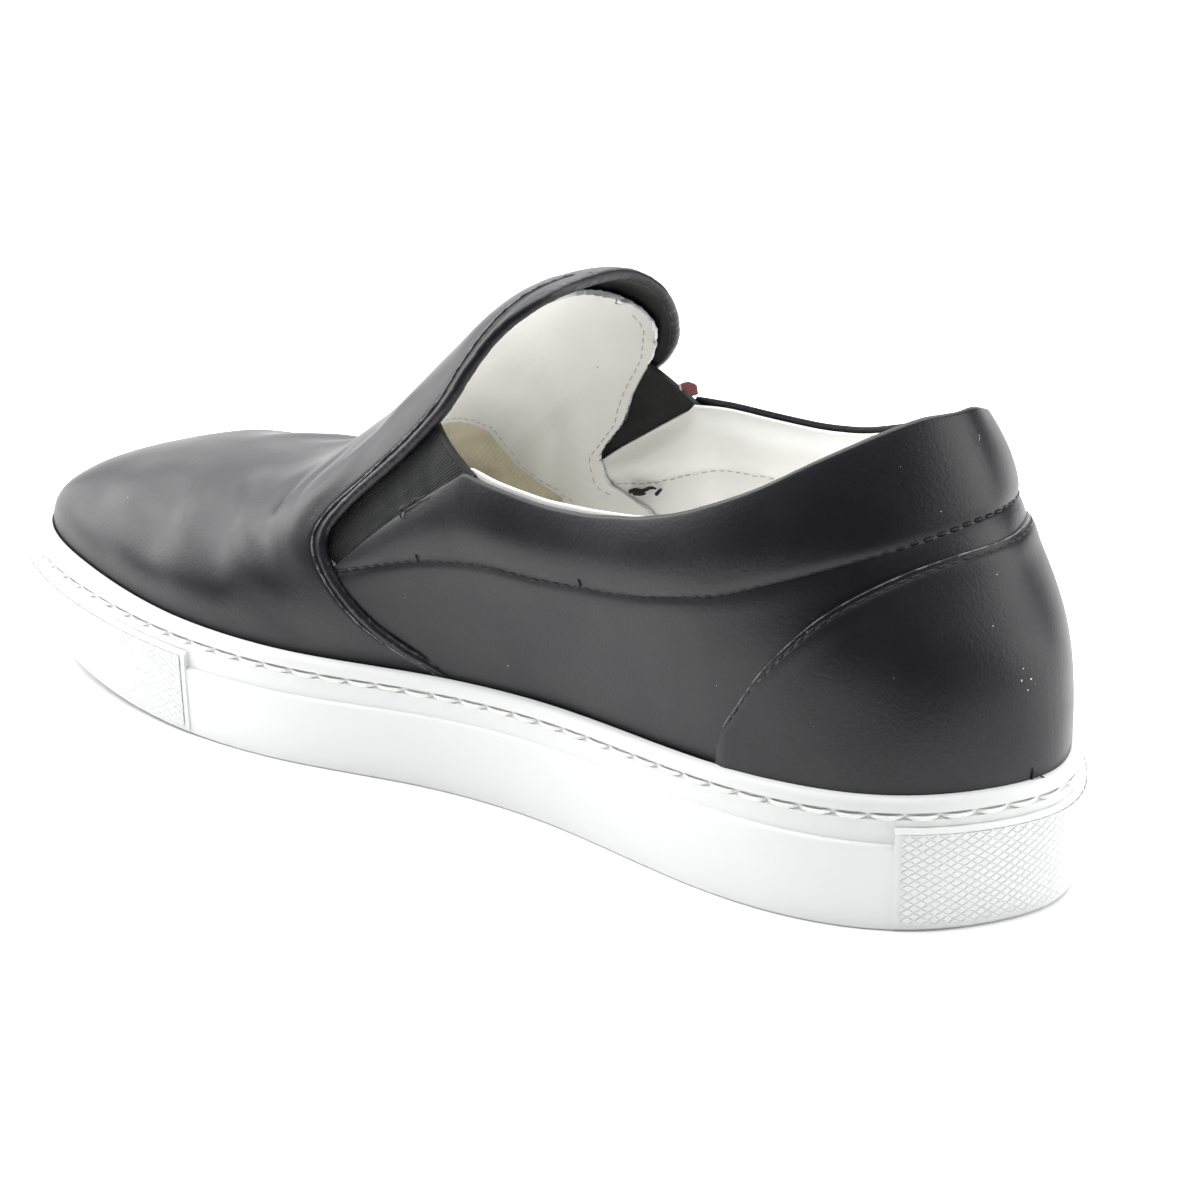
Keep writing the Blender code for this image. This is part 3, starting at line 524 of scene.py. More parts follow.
def piece(name, vertices, faces, materials, angle=50, face_materials=None, flat=False):
    """A piece of the shoe from vertices and faces, which rides on the shoe's one body."""
    mesh = bpy.data.meshes.new(name)
    mesh.from_pydata([tuple(v) for v in vertices], [], [tuple(int(i) for i in f) for f in faces])
    materials = materials if isinstance(materials, (list, tuple)) else [materials]
    for material in materials:
        mesh.materials.append(material)
    if face_materials is not None:
        mesh.polygons.foreach_set("material_index", np.asarray(face_materials, np.int32))
    bm = bmesh.new()
    bm.from_mesh(mesh)
    bmesh.ops.remove_doubles(bm, verts=bm.verts, dist=1e-7)
    bmesh.ops.recalc_face_normals(bm, faces=bm.faces)
    bm.to_mesh(mesh)
    bm.free()
    if flat:
        mesh.shade_flat()
    else:
        mesh.shade_smooth()
        mesh.set_sharp_from_angle(angle=math.radians(angle))
    obj = bpy.data.objects.new(name, mesh)
    bpy.context.scene.collection.objects.link(obj)
    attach(obj, BODY)
    return obj


def shell(last, name, outer, inner, materials, bulge=0.0, rim=0, angle=50):
    """A closed solid between two grids of points, with its rim rounded by bulge."""
    rows, columns = outer.shape[:2]
    count = rows * columns
    index = np.arange(count).reshape(rows, columns)
    border = np.concatenate([index[0], index[1:, -1], index[-1, -2::-1], index[-2:0:-1, 0]])
    inward = np.concatenate([index[1], index[1:, -2], index[-2, -2::-1], index[-2:0:-1, 1]])
    flat_outer, flat_inner = outer.reshape(-1, 3), inner.reshape(-1, 3)
    way = unit(flat_outer[border] - flat_outer[inward])
    middle = (flat_outer[border] + flat_inner[border]) / 2 + way * bulge
    vertices = np.vstack([flat_outer, flat_inner, middle])
    cells = np.stack([index[:-1, :-1], index[:-1, 1:], index[1:, 1:], index[1:, :-1]], axis=-1).reshape(-1, 4)
    faces = [*cells, *(cells[:, ::-1] + count)]
    marks = [0] * len(faces)
    size = len(border)
    for i in range(size):
        j = (i + 1) % size
        faces.append((border[i], border[j], 2 * count + j, 2 * count + i))
        faces.append((2 * count + i, 2 * count + j, border[j] + count, border[i] + count))
    marks += [rim] * (len(faces) - len(marks))
    return piece(name, to_frame(last, vertices), faces, materials, angle, marks)


def tube(path, radii, normals, sides=10):
    """The vertices and faces of a closed tube along a path, its ends closed by a point each."""
    path = np.asarray(path, float)
    tangent = unit(np.gradient(path, axis=0))
    normals = unit(normals - (normals * tangent).sum(-1)[:, None] * tangent)
    side = np.cross(tangent, normals)
    turn = np.linspace(0, 2 * math.pi, sides, endpoint=False)
    radii = np.broadcast_to(np.asarray(radii, float), (len(path),)) if np.ndim(radii) < 2 else radii
    wide = radii[:, None] if radii.ndim == 1 else radii
    ring = (
        path[:, None]
        + (np.cos(turn) * wide)[..., None] * normals[:, None]
        + (np.sin(turn) * wide)[..., None] * side[:, None]
    )
    vertices = np.vstack([ring.reshape(-1, 3), path[:1], path[-1:]])
    faces = []
    last_ring = (len(path) - 1) * sides
    for k in range(sides):
        n = (k + 1) % sides
        for i in range(len(path) - 1):
            a = i * sides
            faces.append((a + k, a + n, a + sides + n, a + sides + k))
        faces.append((len(path) * sides, n, k))
        faces.append((len(path) * sides + 1, last_ring + k, last_ring + n))
    return vertices, faces


def joined(parts):
    """Several vertex and face lists as one."""
    vertices, faces, start = [], [], 0
    for part_vertices, part_faces in parts:
        vertices.append(part_vertices)
        faces += [tuple(i + start for i in face) for face in part_faces]
        start += len(part_vertices)
    return np.vstack(vertices), faces


def between_rows(sheet, column, row):
    """A place on a sheet's column, between two of its rows."""
    i = int(np.clip(math.floor(row), 0, len(sheet) - 2))
    return sheet[i, column] * (1 - (row - i)) + sheet[i + 1, column] * (row - i)


def round_piece(last, name, parts, material):
    """One piece made of closed tubes: threads, rolls and edges."""
    vertices, faces = joined(parts)
    return piece(name, to_frame(last, vertices), faces, material, 80)


STITCH_AT = np.array([-0.5, -0.46, -0.38, -0.24, 0, 0.24, 0.38, 0.46, 0.5])
STITCH_ROUND = np.array([0.35, 0.6, 0.85, 1, 1.05, 1, 0.85, 0.6, 0.35])


def stitches(last, name, path, normals, pitch, length, radius, material, sink=1.2, lift=0.35,
             wander=0.0, seed=1, bow=0.0):
    """A row of sewn stitches along a path on a surface: short threads that dip in at both ends."""
    random = np.random.default_rng(seed)
    reach = reach_of(path)
    parts = []
    for k in range(int(reach[-1] / pitch)):
        at = (k + 0.5) * pitch + STITCH_AT * length * random.uniform(0.94, 1.04)
        spot, normal = read_off(at, reach, path), unit(read_off(at, reach, normals))
        side = np.cross(unit(np.gradient(spot, axis=0)), normal)
        drop = lift - (lift + sink) * np.abs(2 * STITCH_AT) ** 4
        spot = spot + normal * (drop * radius)[:, None]
        spot = spot + side * (wander * random.normal() + 0.4 * wander * STITCH_AT * random.normal())[:, None]
        spot[:, 2] -= bow * (1 - (2 * STITCH_AT) ** 2)
        parts.append(tube(spot, radius * STITCH_ROUND, normal, 7))
    return round_piece(last, name, parts, material)


# The sole


def sole_loop(last, shares, inset, height):
    """A ring of points round the outline: up the inner half from the heel, back down the outer."""
    parts = []
    for side, order in ((1, slice(None)), (-1, slice(-2, 0, -1))):
        at = shares[order]
        depth = np.broadcast_to(inset(at) if callable(inset) else inset, at.shape)
        plan, _ = last.foot(side, at, depth)
        edge, _ = last.foot(side, at, 0)
        parts.append(np.column_stack([plan, height(edge[:, 0])]))
    return np.vstack(parts)


def close_ends(count):
    """Shares from 0 to 1, twice as close together at the heel and the toe."""
    t = np.linspace(0, 1, count)
    return t - 0.5 * np.sin(2 * math.pi * t) / (2 * math.pi)


def ring_solid(last, name, rings, material, angle=50):
    """A closed solid through a stack of rings, its first and last ring closed by strips."""
    count = len(rings[0])
    faces = []
    for level in range(len(rings) - 1):
        low, high = level * count, (level + 1) * count
        for i in range(count):
            j = (i + 1) % count
            faces.append((low + i, low + j, high + j, high + i))
    for start in (0, (len(rings) - 1) * count):
        for i in range(count // 2):
            corners = (i, i + 1, (count - i - 1) % count, (count - i) % count)
            distinct = list(dict.fromkeys(start + c for c in corners))
            if len(distinct) > 2:
                faces.append(tuple(distinct))
    return piece(name, to_frame(last, np.vstack(rings)), faces, material, angle)


SOLE_COLUMNS = 420
TREAD_THICKNESS = 0.0020
BAND = BAND_STEP + 0.0002
# The thread fills part of the groove, so it is drawn shallower than it is cut
GROOVE_DRAWN = 0.7 * GROOVE_DEPTH
SOLE_THREAD = 0.00046
FOOT_ROUND = 0.0008
STEP_DROP = 0.0011
LIP_ROUND = 0.0019


def sole_wall_piece(last, material):
    """The cup: a leaning wall, a soft step, the band with its stitch groove, and the rounded lip."""
    shares = close_ends(SOLE_COLUMNS)

    def wall(part):
        def inset(s):
            return last.lean(s) * (1 - part) + 0.00002

        def height(x):
            low, high = last.lift(x) + FOOT_ROUND, last.step_height(x) - STEP_DROP
            return low + (high - low) * part
        return inset, height

    rings = [sole_loop(last, shares, 0.0042, lambda x: last.lift(x) + TREAD_THICKNESS)]
    rings.append(sole_loop(last, shares, 0.0040, last.lift))
    for turn in np.linspace(0, math.pi / 2, 5)[:-1]:
        drop = FOOT_ROUND * (1 - math.sin(turn))
        rings.append(sole_loop(last, shares, lambda s: last.lean(s) + drop,
                               lambda x: last.lift(x) + FOOT_ROUND * (1 - math.cos(turn))))
    for part in np.linspace(0, 1, 7):
        rings.append(sole_loop(last, shares, *wall(part)))
    for turn in np.linspace(0, math.pi / 2, 6)[1:]:
        rings.append(sole_loop(last, shares, 0.0007 * (1 - math.cos(turn)),
                               lambda x: last.step_height(x) - STEP_DROP + 0.0009 * math.sin(turn)))
    rings.append(sole_loop(last, shares, BAND - 0.00015, lambda x: last.step_height(x) - 0.0001))
    rings.append(sole_loop(last, shares, BAND, lambda x: last.step_height(x) + 0.0005))
    for part in (0.35, 0.7, 0.95):
        rings.append(sole_loop(last, shares, BAND, lambda x: last.step_height(x) + 0.0005 + part * (
            last.groove_height(x) - GROOVE_WIDTH / 2 - last.step_height(x) - 0.0005)))
    for turn in np.linspace(0, math.pi, 9):
        rings.append(sole_loop(last, shares, BAND + GROOVE_DRAWN * math.sin(turn) ** 0.8,
                               lambda x: last.groove_height(x) - GROOVE_WIDTH / 2 * math.cos(turn)))
    rings.append(sole_loop(
        last, shares, BAND + 0.00002, lambda x: last.groove_height(x) + GROOVE_WIDTH / 2 + 0.0004))
    for turn in np.linspace(0, math.pi / 2, 8)[1:]:
        rings.append(sole_loop(last, shares, BAND + LIP_ROUND * (1 - math.cos(turn)),
                               lambda x: last.lip_height(x) - LIP_ROUND * (1 - math.sin(turn))))
    rings.append(sole_loop(last, shares, lambda s: last.lip_width(s) - 0.0008, last.lip_height))
    rings.append(sole_loop(
        last, shares, lambda s: last.lip_width(s) - 0.0002, lambda x: last.lip_height(x) - 0.0003))
    rings.append(sole_loop(last, shares, last.lip_width, lambda x: last.lip_height(x) - 0.0010))
    rings.append(sole_loop(last, shares, last.lip_width, last.floor_height))
    return ring_solid(last, "sole_wall", rings, material, 40)


TREAD_DEPTH = 0.0014
TREAD_SLOT = 0.0022
TREAD_PITCH = 0.0110
TREAD_RIM = 0.0090
TREAD_ZONES = ((0.07, 0.30), (0.52, 0.92))


def tread_piece(last, material):
    """The outsole's face: cross slots inside a plain rim, at the heel and the forefoot."""
    slots = np.concatenate([
        (start * last.length + TREAD_PITCH * np.arange(int((end - start) * last.length / TREAD_PITCH) + 1))
        for start, end in TREAD_ZONES])
    edges = np.concatenate([slots + share * TREAD_SLOT for share in (-0.55, -0.45, 0.45, 0.55)])
    rows = np.linspace(0.0052, last.length - 0.0052, 120)
    rows = np.sort(np.concatenate([[row for row in rows if np.abs(edges - row).min() > 0.0006], edges]))
    across = np.linspace(-1, 1, 61)
    halves = {}
    for side in SIDES:
        shares = np.linspace(0, 1, 900)
        rim, _ = last.foot(side, shares, np.full(900, 0.0041))
        halves[side] = np.interp(rows, np.maximum.accumulate(rim[:, 0]) + np.arange(900) * 1e-9, rim[:, 1])
    middle, half = (halves[1] + halves[-1]) / 2, (halves[1] - halves[-1]) / 2
    y = middle[:, None] + half[:, None] * across[None, :]
    x = np.broadcast_to(rows[:, None], y.shape)
    inside = (np.abs(across)[None, :] * half[:, None]) < (half[:, None] - TREAD_RIM + 0.004)
    cut = np.abs(rows[:, None] - slots).min(axis=1) < 0.5 * TREAD_SLOT
    depth = TREAD_DEPTH * (cut[:, None] & inside)
    low = last.lift(x)
    bottom = np.stack([x, y, low + depth], axis=-1)
    top = np.stack([x, y, low + TREAD_THICKNESS + 0.0002], axis=-1)
    return shell(last, "outsole_tread", bottom, top, material, angle=30)


PATCH_ROWS = 24
DIAMOND_RELIEF = 0.00023
DIAMOND_TOP = 0.70
PATCH_EDGE = 0.0008
PATCH_SKIN = PATCH_RISE - 0.00015
PATCH_DEPTH = 0.0016


def patch_piece(last, name, places, material):
    """A moulded patch of flat-topped diamonds round one end of the sole: (side, arc share) at each column."""
    shares = np.array([share for _, share in places])
    at = [last.foot(side, np.array([share]), np.array([0.0])) for side, share in places]
    edge = np.array([point[0] for point, _ in at])
    normal = np.array([way[0] for _, way in at])
    low, high = last.lift(edge[:, 0]) + 0.0009, last.patch_top(edge[:, 0])
    step = last.step_height(edge[:, 0])
    columns, rows = len(places), PATCH_ROWS + 1
    base, top, back = (np.zeros((rows, columns, 3)) for _ in range(3))
    for r in range(rows):
        height = low + (high - low) * r / PATCH_ROWS
        tilt = last.lean(shares) * np.clip(1 - (height - low) / (step - low), 0, 1)
        for grid, out in ((base, PATCH_SKIN), (top, PATCH_SKIN + DIAMOND_RELIEF), (back, -PATCH_DEPTH)):
            out = out - (PATCH_EDGE if r == rows - 1 and out > 0 else 0)
            grid[r] = np.column_stack([edge + normal * (out - tilt)[:, None], height])
    vertices, faces = [], []

    def face(*corners):
        faces.append(tuple(range(len(vertices), len(vertices) + len(corners))))
        vertices.extend(corners)

    def slope(peak, first, second):
        """One quarter of a diamond: a piece of its flat top, and the slope down to the valley."""
        centre = top[peak]
        ends = [centre + (base[foot] - base[peak]) * DIAMOND_TOP for foot in (first, second)]
        face(centre, ends[0], ends[1])
        face(ends[0], base[first], base[second], ends[1])

    for r in range(rows - 1):
        for c in range(columns - 1):
            cell = ((r, c), (r, c + 1), (r + 1, c + 1), (r + 1, c))
            studded = 1 <= r < rows - 2 and 1 <= c < columns - 2
            lows = [corner for corner in cell if sum(corner) % 2]
            for peak in (corner for corner in cell if sum(corner) % 2 == 0):
                inside = 1 <= peak[0] < rows - 1 and 1 <= peak[1] < columns - 1
                if studded and inside:
                    slope(peak, *lows)
                else:
                    face(base[peak], base[lows[0]], base[lows[1]])
            face(*(back[corner] for corner in cell))
    rim = [(0, c) for c in range(columns)] + [(r, columns - 1) for r in range(1, rows)]
    rim += [(rows - 1, c) for c in range(columns - 2, -1, -1)] + [(r, 0) for r in range(rows - 2, 0, -1)]
    for a, b in zip(rim, rim[1:] + rim[:1]):
        face(base[a], base[b], back[b], back[a])
    return piece(name, to_frame(last, np.array(vertices)), faces, material, flat=True)


def patch_places(last, place, heel, pitch):
    """Evenly spaced columns from one side edge of a patch to the other, round the end of the sole."""
    ends = {side: last.share_at(1, place) for side in SIDES}
    columns = []
    for side in SIDES:
        length = last.halves[side][3]
        span = ends[side] * length if heel else (1 - ends[side]) * length
        count = max(4, 2 * round(span / pitch / 2))
        t = np.linspace(0, 1, count + 1)
        share = ends[side] * t if heel else 1 - (1 - ends[side]) * t
        columns.append([(side, s) for s in share])
    return columns[0][::-1] + columns[1][1:]


def sole_stitch_path(last):
    """The line on which the thread lies, in the groove all round the sole."""
    shares = close_ends(900)
    return sole_loop(last, shares, BAND + 0.30 * GROOVE_DEPTH, last.groove_height)


# The upper


def vamp_line(last, row, side, shares):
    """A line of the vamp's surface along the shoe. Rows up to 0 are levels, above 0 angles."""
    if row <= 0:
        centre, low, _, _ = last.arch(shares)
        bottom = last.floor_height(centre[..., 0]) + GAP
        return last.point(side, shares, height=low + (bottom - low) * -row)
    return last.point(side, shares, angle=np.full(shares.shape, row))


def share_behind(last, row, side, back):
    """The arc share where a row of the vamp's surface meets an edge: how far along it is at a height."""
    shares = np.linspace(0.22, 1, 500)
    points = vamp_line(last, row, side, shares)
    meet = 0.5 * smooth((row - 1.0) / (math.pi / 2 - 1.0))
    past = points[:, 0] - back(side, points[:, 2]) * (1 - meet) - back(-side, points[:, 2]) * meet
    behind = np.nonzero(past < 0)[0]
    i = behind[-1] if len(behind) else 0
    k = min(i + 1, len(shares) - 1)
    span = past[k] - past[i]
    return shares[i] + (shares[k] - shares[i]) * (-past[i] / span if span > 0 else 0)


ROW_CROWDING = 0.055
WALL_LEVELS = (-1.0, -0.6, -0.3, -0.12, 0.0)


def vamp_sheet(last, angles, columns, back, front=None, spread=1.0):
    """Arches of the upper's surface between a rear edge and the toe, or a front edge, and each
    point's distance ahead of the vamp's own rear edge."""
    up = np.arange(1, angles + 1) / angles
    up = up - ROW_CROWDING * np.sin(2 * math.pi * (up - 0.5))
    rows = [*WALL_LEVELS, *(math.pi / 2 * up)]
    order = [(row, 1) for row in rows] + [(row, -1) for row in rows[-2::-1]]
    starts = np.array([share_behind(last, row, side, back) for row, side in order])
    calm = np.convolve(np.pad(starts, 12, mode="edge"), np.hanning(25) / np.hanning(25).sum(), "valid")
    grid, behind = [], []
    for (row, side), start, even in zip(order, starts, calm):
        end = share_behind(last, row, side, front) if front else 1.0
        end = max(end, start + 0.004)
        t = np.linspace(0, 1, columns) ** spread
        shares = start + (end - start) * t
        if not front:
            shares = shares + (even - start) * (1 - t) * smooth(t / 0.14)
        line = vamp_line(last, row, side, shares)
        grid.append(line)
        behind.append(line[:, 0] - last.vamp_back(side, line[:, 2]))
    return np.array(grid), np.array(behind)


def crease_relief(last, grid, depth):
    """How far the vamp's creases lift or sink its surface: soft bands along each crease's line."""
    total = np.zeros(grid.shape[:2])
    flat = grid.reshape(-1, 3)
    for side in SIDES:
        for k, (height, width, line) in enumerate(CREASES):
            amount = height * MM * depth * (1 if side > 0 else OUTER_CREASE)
            shift = 0 if side > 0 else OUTER_CREASE_SHIFT * math.cos(2.1 * k)
            t = np.linspace(0, 1, 36)
            marks = np.linspace(0, 1, len(line))
            share = np.interp(t, marks, [p[0] for p in line]) + shift
            angle = np.interp(t, marks, [p[1] for p in line]) * math.pi / 2
            path = last.point(side, share, angle=np.minimum(angle, math.pi / 2 - 1e-4))
            steps = np.linalg.norm(np.gradient(path, axis=0), axis=1)
            fade = np.sin(math.pi * np.clip(t, 0.02, 0.98) ** 0.62) ** 1.0
            weight = steps * fade / (width * MM * math.sqrt(math.pi))
            band = np.zeros(len(flat))
            for spot, part in zip(path, weight):
                band += part * np.exp(-((flat - spot) ** 2).sum(axis=1) / (width * MM) ** 2)
            total += (amount * band).reshape(total.shape)
    middle = np.abs(grid[..., 1] - last.shift(grid[..., 0] / last.length) * last.ball_width)
    return total * smooth(middle / 0.011)


VAMP_ANGLES = 92
VAMP_COLUMNS = 190
VAMP_BODY = 0.0028
ROLL_RADIUS = 0.00140
ROLL_SINK = 0.00135
EDGE_LINE = 0.00023
EDGE_LINE_BACK = 0.0021
STEP_FADE = 0.030
EDGE_FADE = 0.004
EDGE_GROOVE = 0.00045


def evened(path, count):
    """A path with its small kinks smoothed out."""
    half = count // 2
    padded = np.vstack([path[:1]] * half + [path] + [path[-1:]] * half)
    even = np.ones(count) / count
    return np.stack([np.convolve(column, even, "valid") for column in padded.T], axis=-1)


def vamp_pieces(last, sizes, leather, edge_leather, worn):
    """The vamp with its tongue: a creased leather shell, and the roll along its rear edge."""
    grid, behind = vamp_sheet(last, VAMP_ANGLES, VAMP_COLUMNS, last.vamp_back, spread=1.1)
    normals = grid_normals(grid)
    above = smooth((grid[..., 2] - last.lip_height(grid[..., 0])) / EDGE_FADE)
    raised = VAMP_STEP * (1 - smooth(behind / STEP_FADE)) * above
    groove = -EDGE_GROOVE * np.exp(-((behind - 0.0013) / 0.0009) ** 2) * above
    creases = crease_relief(last, grid, sizes.crease) * above * smooth(behind / EDGE_FADE)
    waves = 0.00010 * ripple(grid, 0.016, 3) * above
    outer = grid + normals * (raised + groove + creases + waves)[..., None]
    inner = grid + normals * (raised + creases - VAMP_BODY)[..., None]
    vamp = shell(last, "vamp", outer, inner, leather, bulge=0.0008)
    edge = grid[:, 0] + normals[:, 0] * (raised[:, 0] - ROLL_SINK)[:, None]
    reach = reach_of(edge)
    at = np.linspace(0, reach[-1], 700)
    path = evened(read_off(at, reach, edge), 9)
    facing = unit(read_off(at, reach, normals[:, 0]))
    turn = np.linspace(0, 2 * math.pi, 18, endpoint=False)
    spots = path[:, None] + facing[:, None] * np.cos(turn)[None, :, None] * ROLL_RADIUS
    crinkle = 0.00006 * ripple(spots, 0.0024, 11) + 0.00005 * ripple(spots, 0.0011, 12)
    radii = ROLL_RADIUS * (1 + 0.05 * np.cos(turn))[None, :] + crinkle
    roll = round_piece(last, "vamp_edge_roll", [tube(path, radii, facing, 18)], edge_leather)
    # A thin bead just ahead of the roll, in the worn edge material: its lighter grey patches are a painted
    # highlight line along the roll's front, as well as rubbed wear.
    line = []
    for r in range(len(grid)):
        i = int(np.clip(np.searchsorted(behind[r], EDGE_LINE_BACK), 1, 12))
        part = np.clip((EDGE_LINE_BACK - behind[r, i - 1]) / max(behind[r, i] - behind[r, i - 1], 1e-6), 0, 1)
        line.append(outer[r, i - 1] * (1 - part) + outer[r, i] * part)
    line = np.array(line)
    reach = reach_of(line)
    at = np.linspace(0, reach[-1], 1400)
    line = evened(read_off(at, reach, line), 15)
    facing = unit(read_off(at, reach, normals[:, 1]))
    line = line + facing * (0.00004 + 0.00007 * ripple(line, 0.0018, 13))[:, None]
    bead = tube(line, EDGE_LINE * (1 + 0.30 * ripple(line, 0.0015, 14)), facing, 8)
    return vamp, roll, round_piece(last, "vamp_edge_ridge", [bead], worn)


QUARTER_REACH = 0.612


def quarter_shares(last, side, columns):
    """Arc shares from the front, under the vamp, to the heel, closer together round the heel."""
    front = last.share_at(side, QUARTER_REACH)
    shares = front * np.linspace(1, 0, columns) ** 1.35
    return shares


def quarter_sheet(last, columns, bottom, top, rows):
    """The quarters' surface between two heights, from the inner front round the heel to the outer."""
    grid, hidden = [], []
    found = {}
    for side in SIDES:
        shares = quarter_shares(last, side, columns)
        found[side] = shares, bottom(side, shares), top(side, shares)
    for part in rows:
        line, under = [], []
        for side in SIDES:
            shares, low, high = found[side]
            height = low + (np.maximum(high, low + 0.0002) - low) * part
            points = last.point(side, shares, height=height)
            line.append(points)
            under.append(smooth((points[:, 0] - last.vamp_back(side, points[:, 2]) - 0.0004) / 0.0030))
        grid.append(np.vstack([line[0], line[1][-2::-1]]))
        hidden.append(np.concatenate([under[0], under[1][-2::-1]]))
    return soft_back(np.array(grid), columns - 1), np.array(hidden)


def soft_back(grid, middle, reach=9, times=24):
    """A sheet round the heel, its columns nearest the back's middle line smoothed."""
    for _ in range(times):
        inner = grid[:, middle - reach:middle + reach + 1]
        grid[:, middle - reach + 1:middle + reach] = (
            0.25 * inner[:, :-2] + 0.5 * inner[:, 1:-1] + 0.25 * inner[:, 2:])
    return grid


def seam_heights(last, side, shares):
    """The collar seam's height at arc shares, never above the quarter's upper edge."""
    return last.under(
        side, shares, lambda x: np.minimum(last.collar_seam(x), last.quarter_top(side, x) - 0.0012))


def top_heights(last, side, shares):
    """The quarters' upper edge at arc shares; the two sides' heights meet at the back."""
    own, other = (last.under(s, shares, lambda x: last.quarter_top(s, x)) for s in (side, -side))
    return own + (other - own) * 0.5 * (1 - smooth(shares / 0.045))


UNDER_VAMP = 0.0019
LEATHER = 0.0011
SEAM_LAP = 0.0004
SEAM_TUCK = 0.00034
SEAM_LIP = 0.00016
SEAM_THREAD = 0.00022
QUARTER_COLUMNS = 210


def quarter_pieces(last, sizes, leather, thread):
    """The quarters' leather below the collar seam, the padded collar above it, and the seam's stitches."""
    rows = np.concatenate([np.linspace(0, 0.9, 34), np.linspace(0.92, 1, 8)])
    grid, hidden = quarter_sheet(
        last, QUARTER_COLUMNS, lambda side, s: last.wall_bottom(s),
        lambda side, s: seam_heights(last, side, s), rows)
    normals = grid_normals(grid)
    below = (grid[-1][None, :, 2] - grid[..., 2])
    lip = SEAM_LIP * np.exp(-((below - 0.0034) / 0.0024) ** 2) - SEAM_TUCK * np.exp(-(below / 0.0010) ** 2)
    waves = 0.00026 * ripple(grid, 0.045, 7)
    outward = lip + waves - UNDER_VAMP * hidden
    outer = grid + normals * outward[..., None]
    inner = outer - normals * LEATHER
    quarters = shell(last, "quarters", outer, inner, leather, bulge=0.0004)
    seam = outer[-1] + normals[-1] * 0.00016
    shown = hidden[-1] < 0.5
    sewn = stitches(
        last, "collar_stitches", seam[shown], normals[-1][shown], sizes.stitch * 1.28, sizes.stitch,
        SEAM_THREAD, thread, wander=0.00007, seed=5)

    part = np.concatenate([np.linspace(0, 0.2, 7), np.linspace(0.25, 0.9, 22), np.linspace(0.92, 1, 7)])
    grid, hidden = quarter_sheet(
        last, QUARTER_COLUMNS, lambda side, s: seam_heights(last, side, s) - SEAM_LAP,
        lambda side, s: top_heights(last, side, s), part)
    normals = grid_normals(grid)
    tall = grid[-1, :, 2] - grid[0, :, 2]
    swell = sizes.puff * smooth(tall / 0.016)[None, :]
    shape = np.sin(math.pi * np.clip(part, 0, 1) ** 0.85)[:, None] ** 0.8
    tuck = -SEAM_TUCK * np.exp(-(part[:, None] * tall[None, :] / 0.0013) ** 2)
    waves = 0.00024 * ripple(grid, 0.038, 9) * shape
    outward = swell * shape + tuck + waves - (UNDER_VAMP + 0.0003) * hidden
    outer = grid + normals * outward[..., None]
    inner = grid + normals * (outward - LEATHER)[..., None]
    collar = shell(last, "collar_pad", outer, inner, leather, bulge=0.0005)
    return quarters, collar, sewn


COUNTER_SKIN = 0.0010
COUNTER_LINE = 0.00014
COUNTER_THREAD = 0.00024


def counter_pieces(last, sizes, leather, thread, worn):
    """The heel counter: an overlay round the back of the heel, its sewn edge turned under."""
    rows = np.concatenate([np.linspace(0, 0.9, 34), np.linspace(0.92, 1, 9)])
    columns = 110
    grid = []
    for part in rows:
        line = []
        for side in SIDES:
            shares = np.linspace(0, 1, 600)
            base, _ = last.foot(side, shares, last.upper_inset(shares))
            foremost = COUNTER_SEAM[-1][0] * last.length - 0.001
            front = np.interp(foremost, np.maximum.accumulate(base[:, 0]), shares)
            at = front * np.linspace(1, 0, columns) ** 1.35
            centre, _, _, _ = last.arch(at)
            low = last.lip_height(centre[..., 0]) - 0.004
            high = last.under(side, at, lambda x: last.counter_share(x / last.length) * last.back_height)
            line.append(last.point(side, at, height=low + (np.maximum(high, low + 0.0002) - low) * part))
        grid.append(np.vstack([line[0], line[1][-2::-1]]))
    grid = soft_back(np.array(grid), columns - 1)
    normals = grid_normals(grid)
    below = grid[-1][None, :, 2] - grid[..., 2]
    ahead = np.minimum(np.cumsum(np.linalg.norm(np.diff(grid[0], axis=0, prepend=grid[0][:1]), axis=1)), 1)
    ahead = np.minimum(ahead, ahead[-1] - ahead)[None, :]
    edge = np.minimum(below, ahead + 0.0002)
    skin = COUNTER_SKIN - 0.0005 * np.exp(-(edge / 0.0007) ** 2)
    skin = skin + 0.0002 * np.exp(-((edge - 0.0030) / 0.002) ** 2)
    sewn_in = 0.0003 * np.exp(-((edge - 0.0009) / 0.0005) ** 2)
    waves = 0.00028 * ripple(grid, 0.05, 21) + 0.00010 * ripple(grid, 0.018, 22)
    outer = grid + normals * (skin - sewn_in + waves + GAP)[..., None]
    inner = grid + normals * (waves - 0.0004)[..., None]
    counter = shell(last, "heel_counter_overlay", outer, inner, leather, bulge=0.0003)
    keep = slice(3, -3)
    pathway = []
    for c in range(grid.shape[1])[keep]:
        drop = below[:, c]
        r = np.interp(0.0010, drop[::-1], np.arange(len(rows))[::-1])
        pathway.append(between_rows(outer, c, r))
    pathway = np.array(pathway)
    facing = normals[-6][keep]
    sewn = stitches(
        last, "counter_stitches", pathway, facing, sizes.stitch * 1.25, sizes.stitch,
        COUNTER_THREAD, thread, wander=0.00005, seed=8)
    # A thin bead along the counter's top edge, in the worn edge material: its lighter grey is a painted
    # highlight where the edge catches the light, as well as rubbed wear.
    line = outer[-1, 2:-2] + normals[-1, 2:-2] * 0.00002
    line = line + normals[-1, 2:-2] * (0.00006 * ripple(line, 0.0021, 23))[:, None]
    bead = tube(line, COUNTER_LINE * (1 + 0.35 * ripple(line, 0.0030, 24)), normals[-1, 2:-2], 8)
    round_piece(last, "counter_edge_line", [bead], worn)
    return counter, sewn


GUSSET_TOP = 0.730
GUSSET_THICK = 0.0010
RIB_RISE = 0.00016


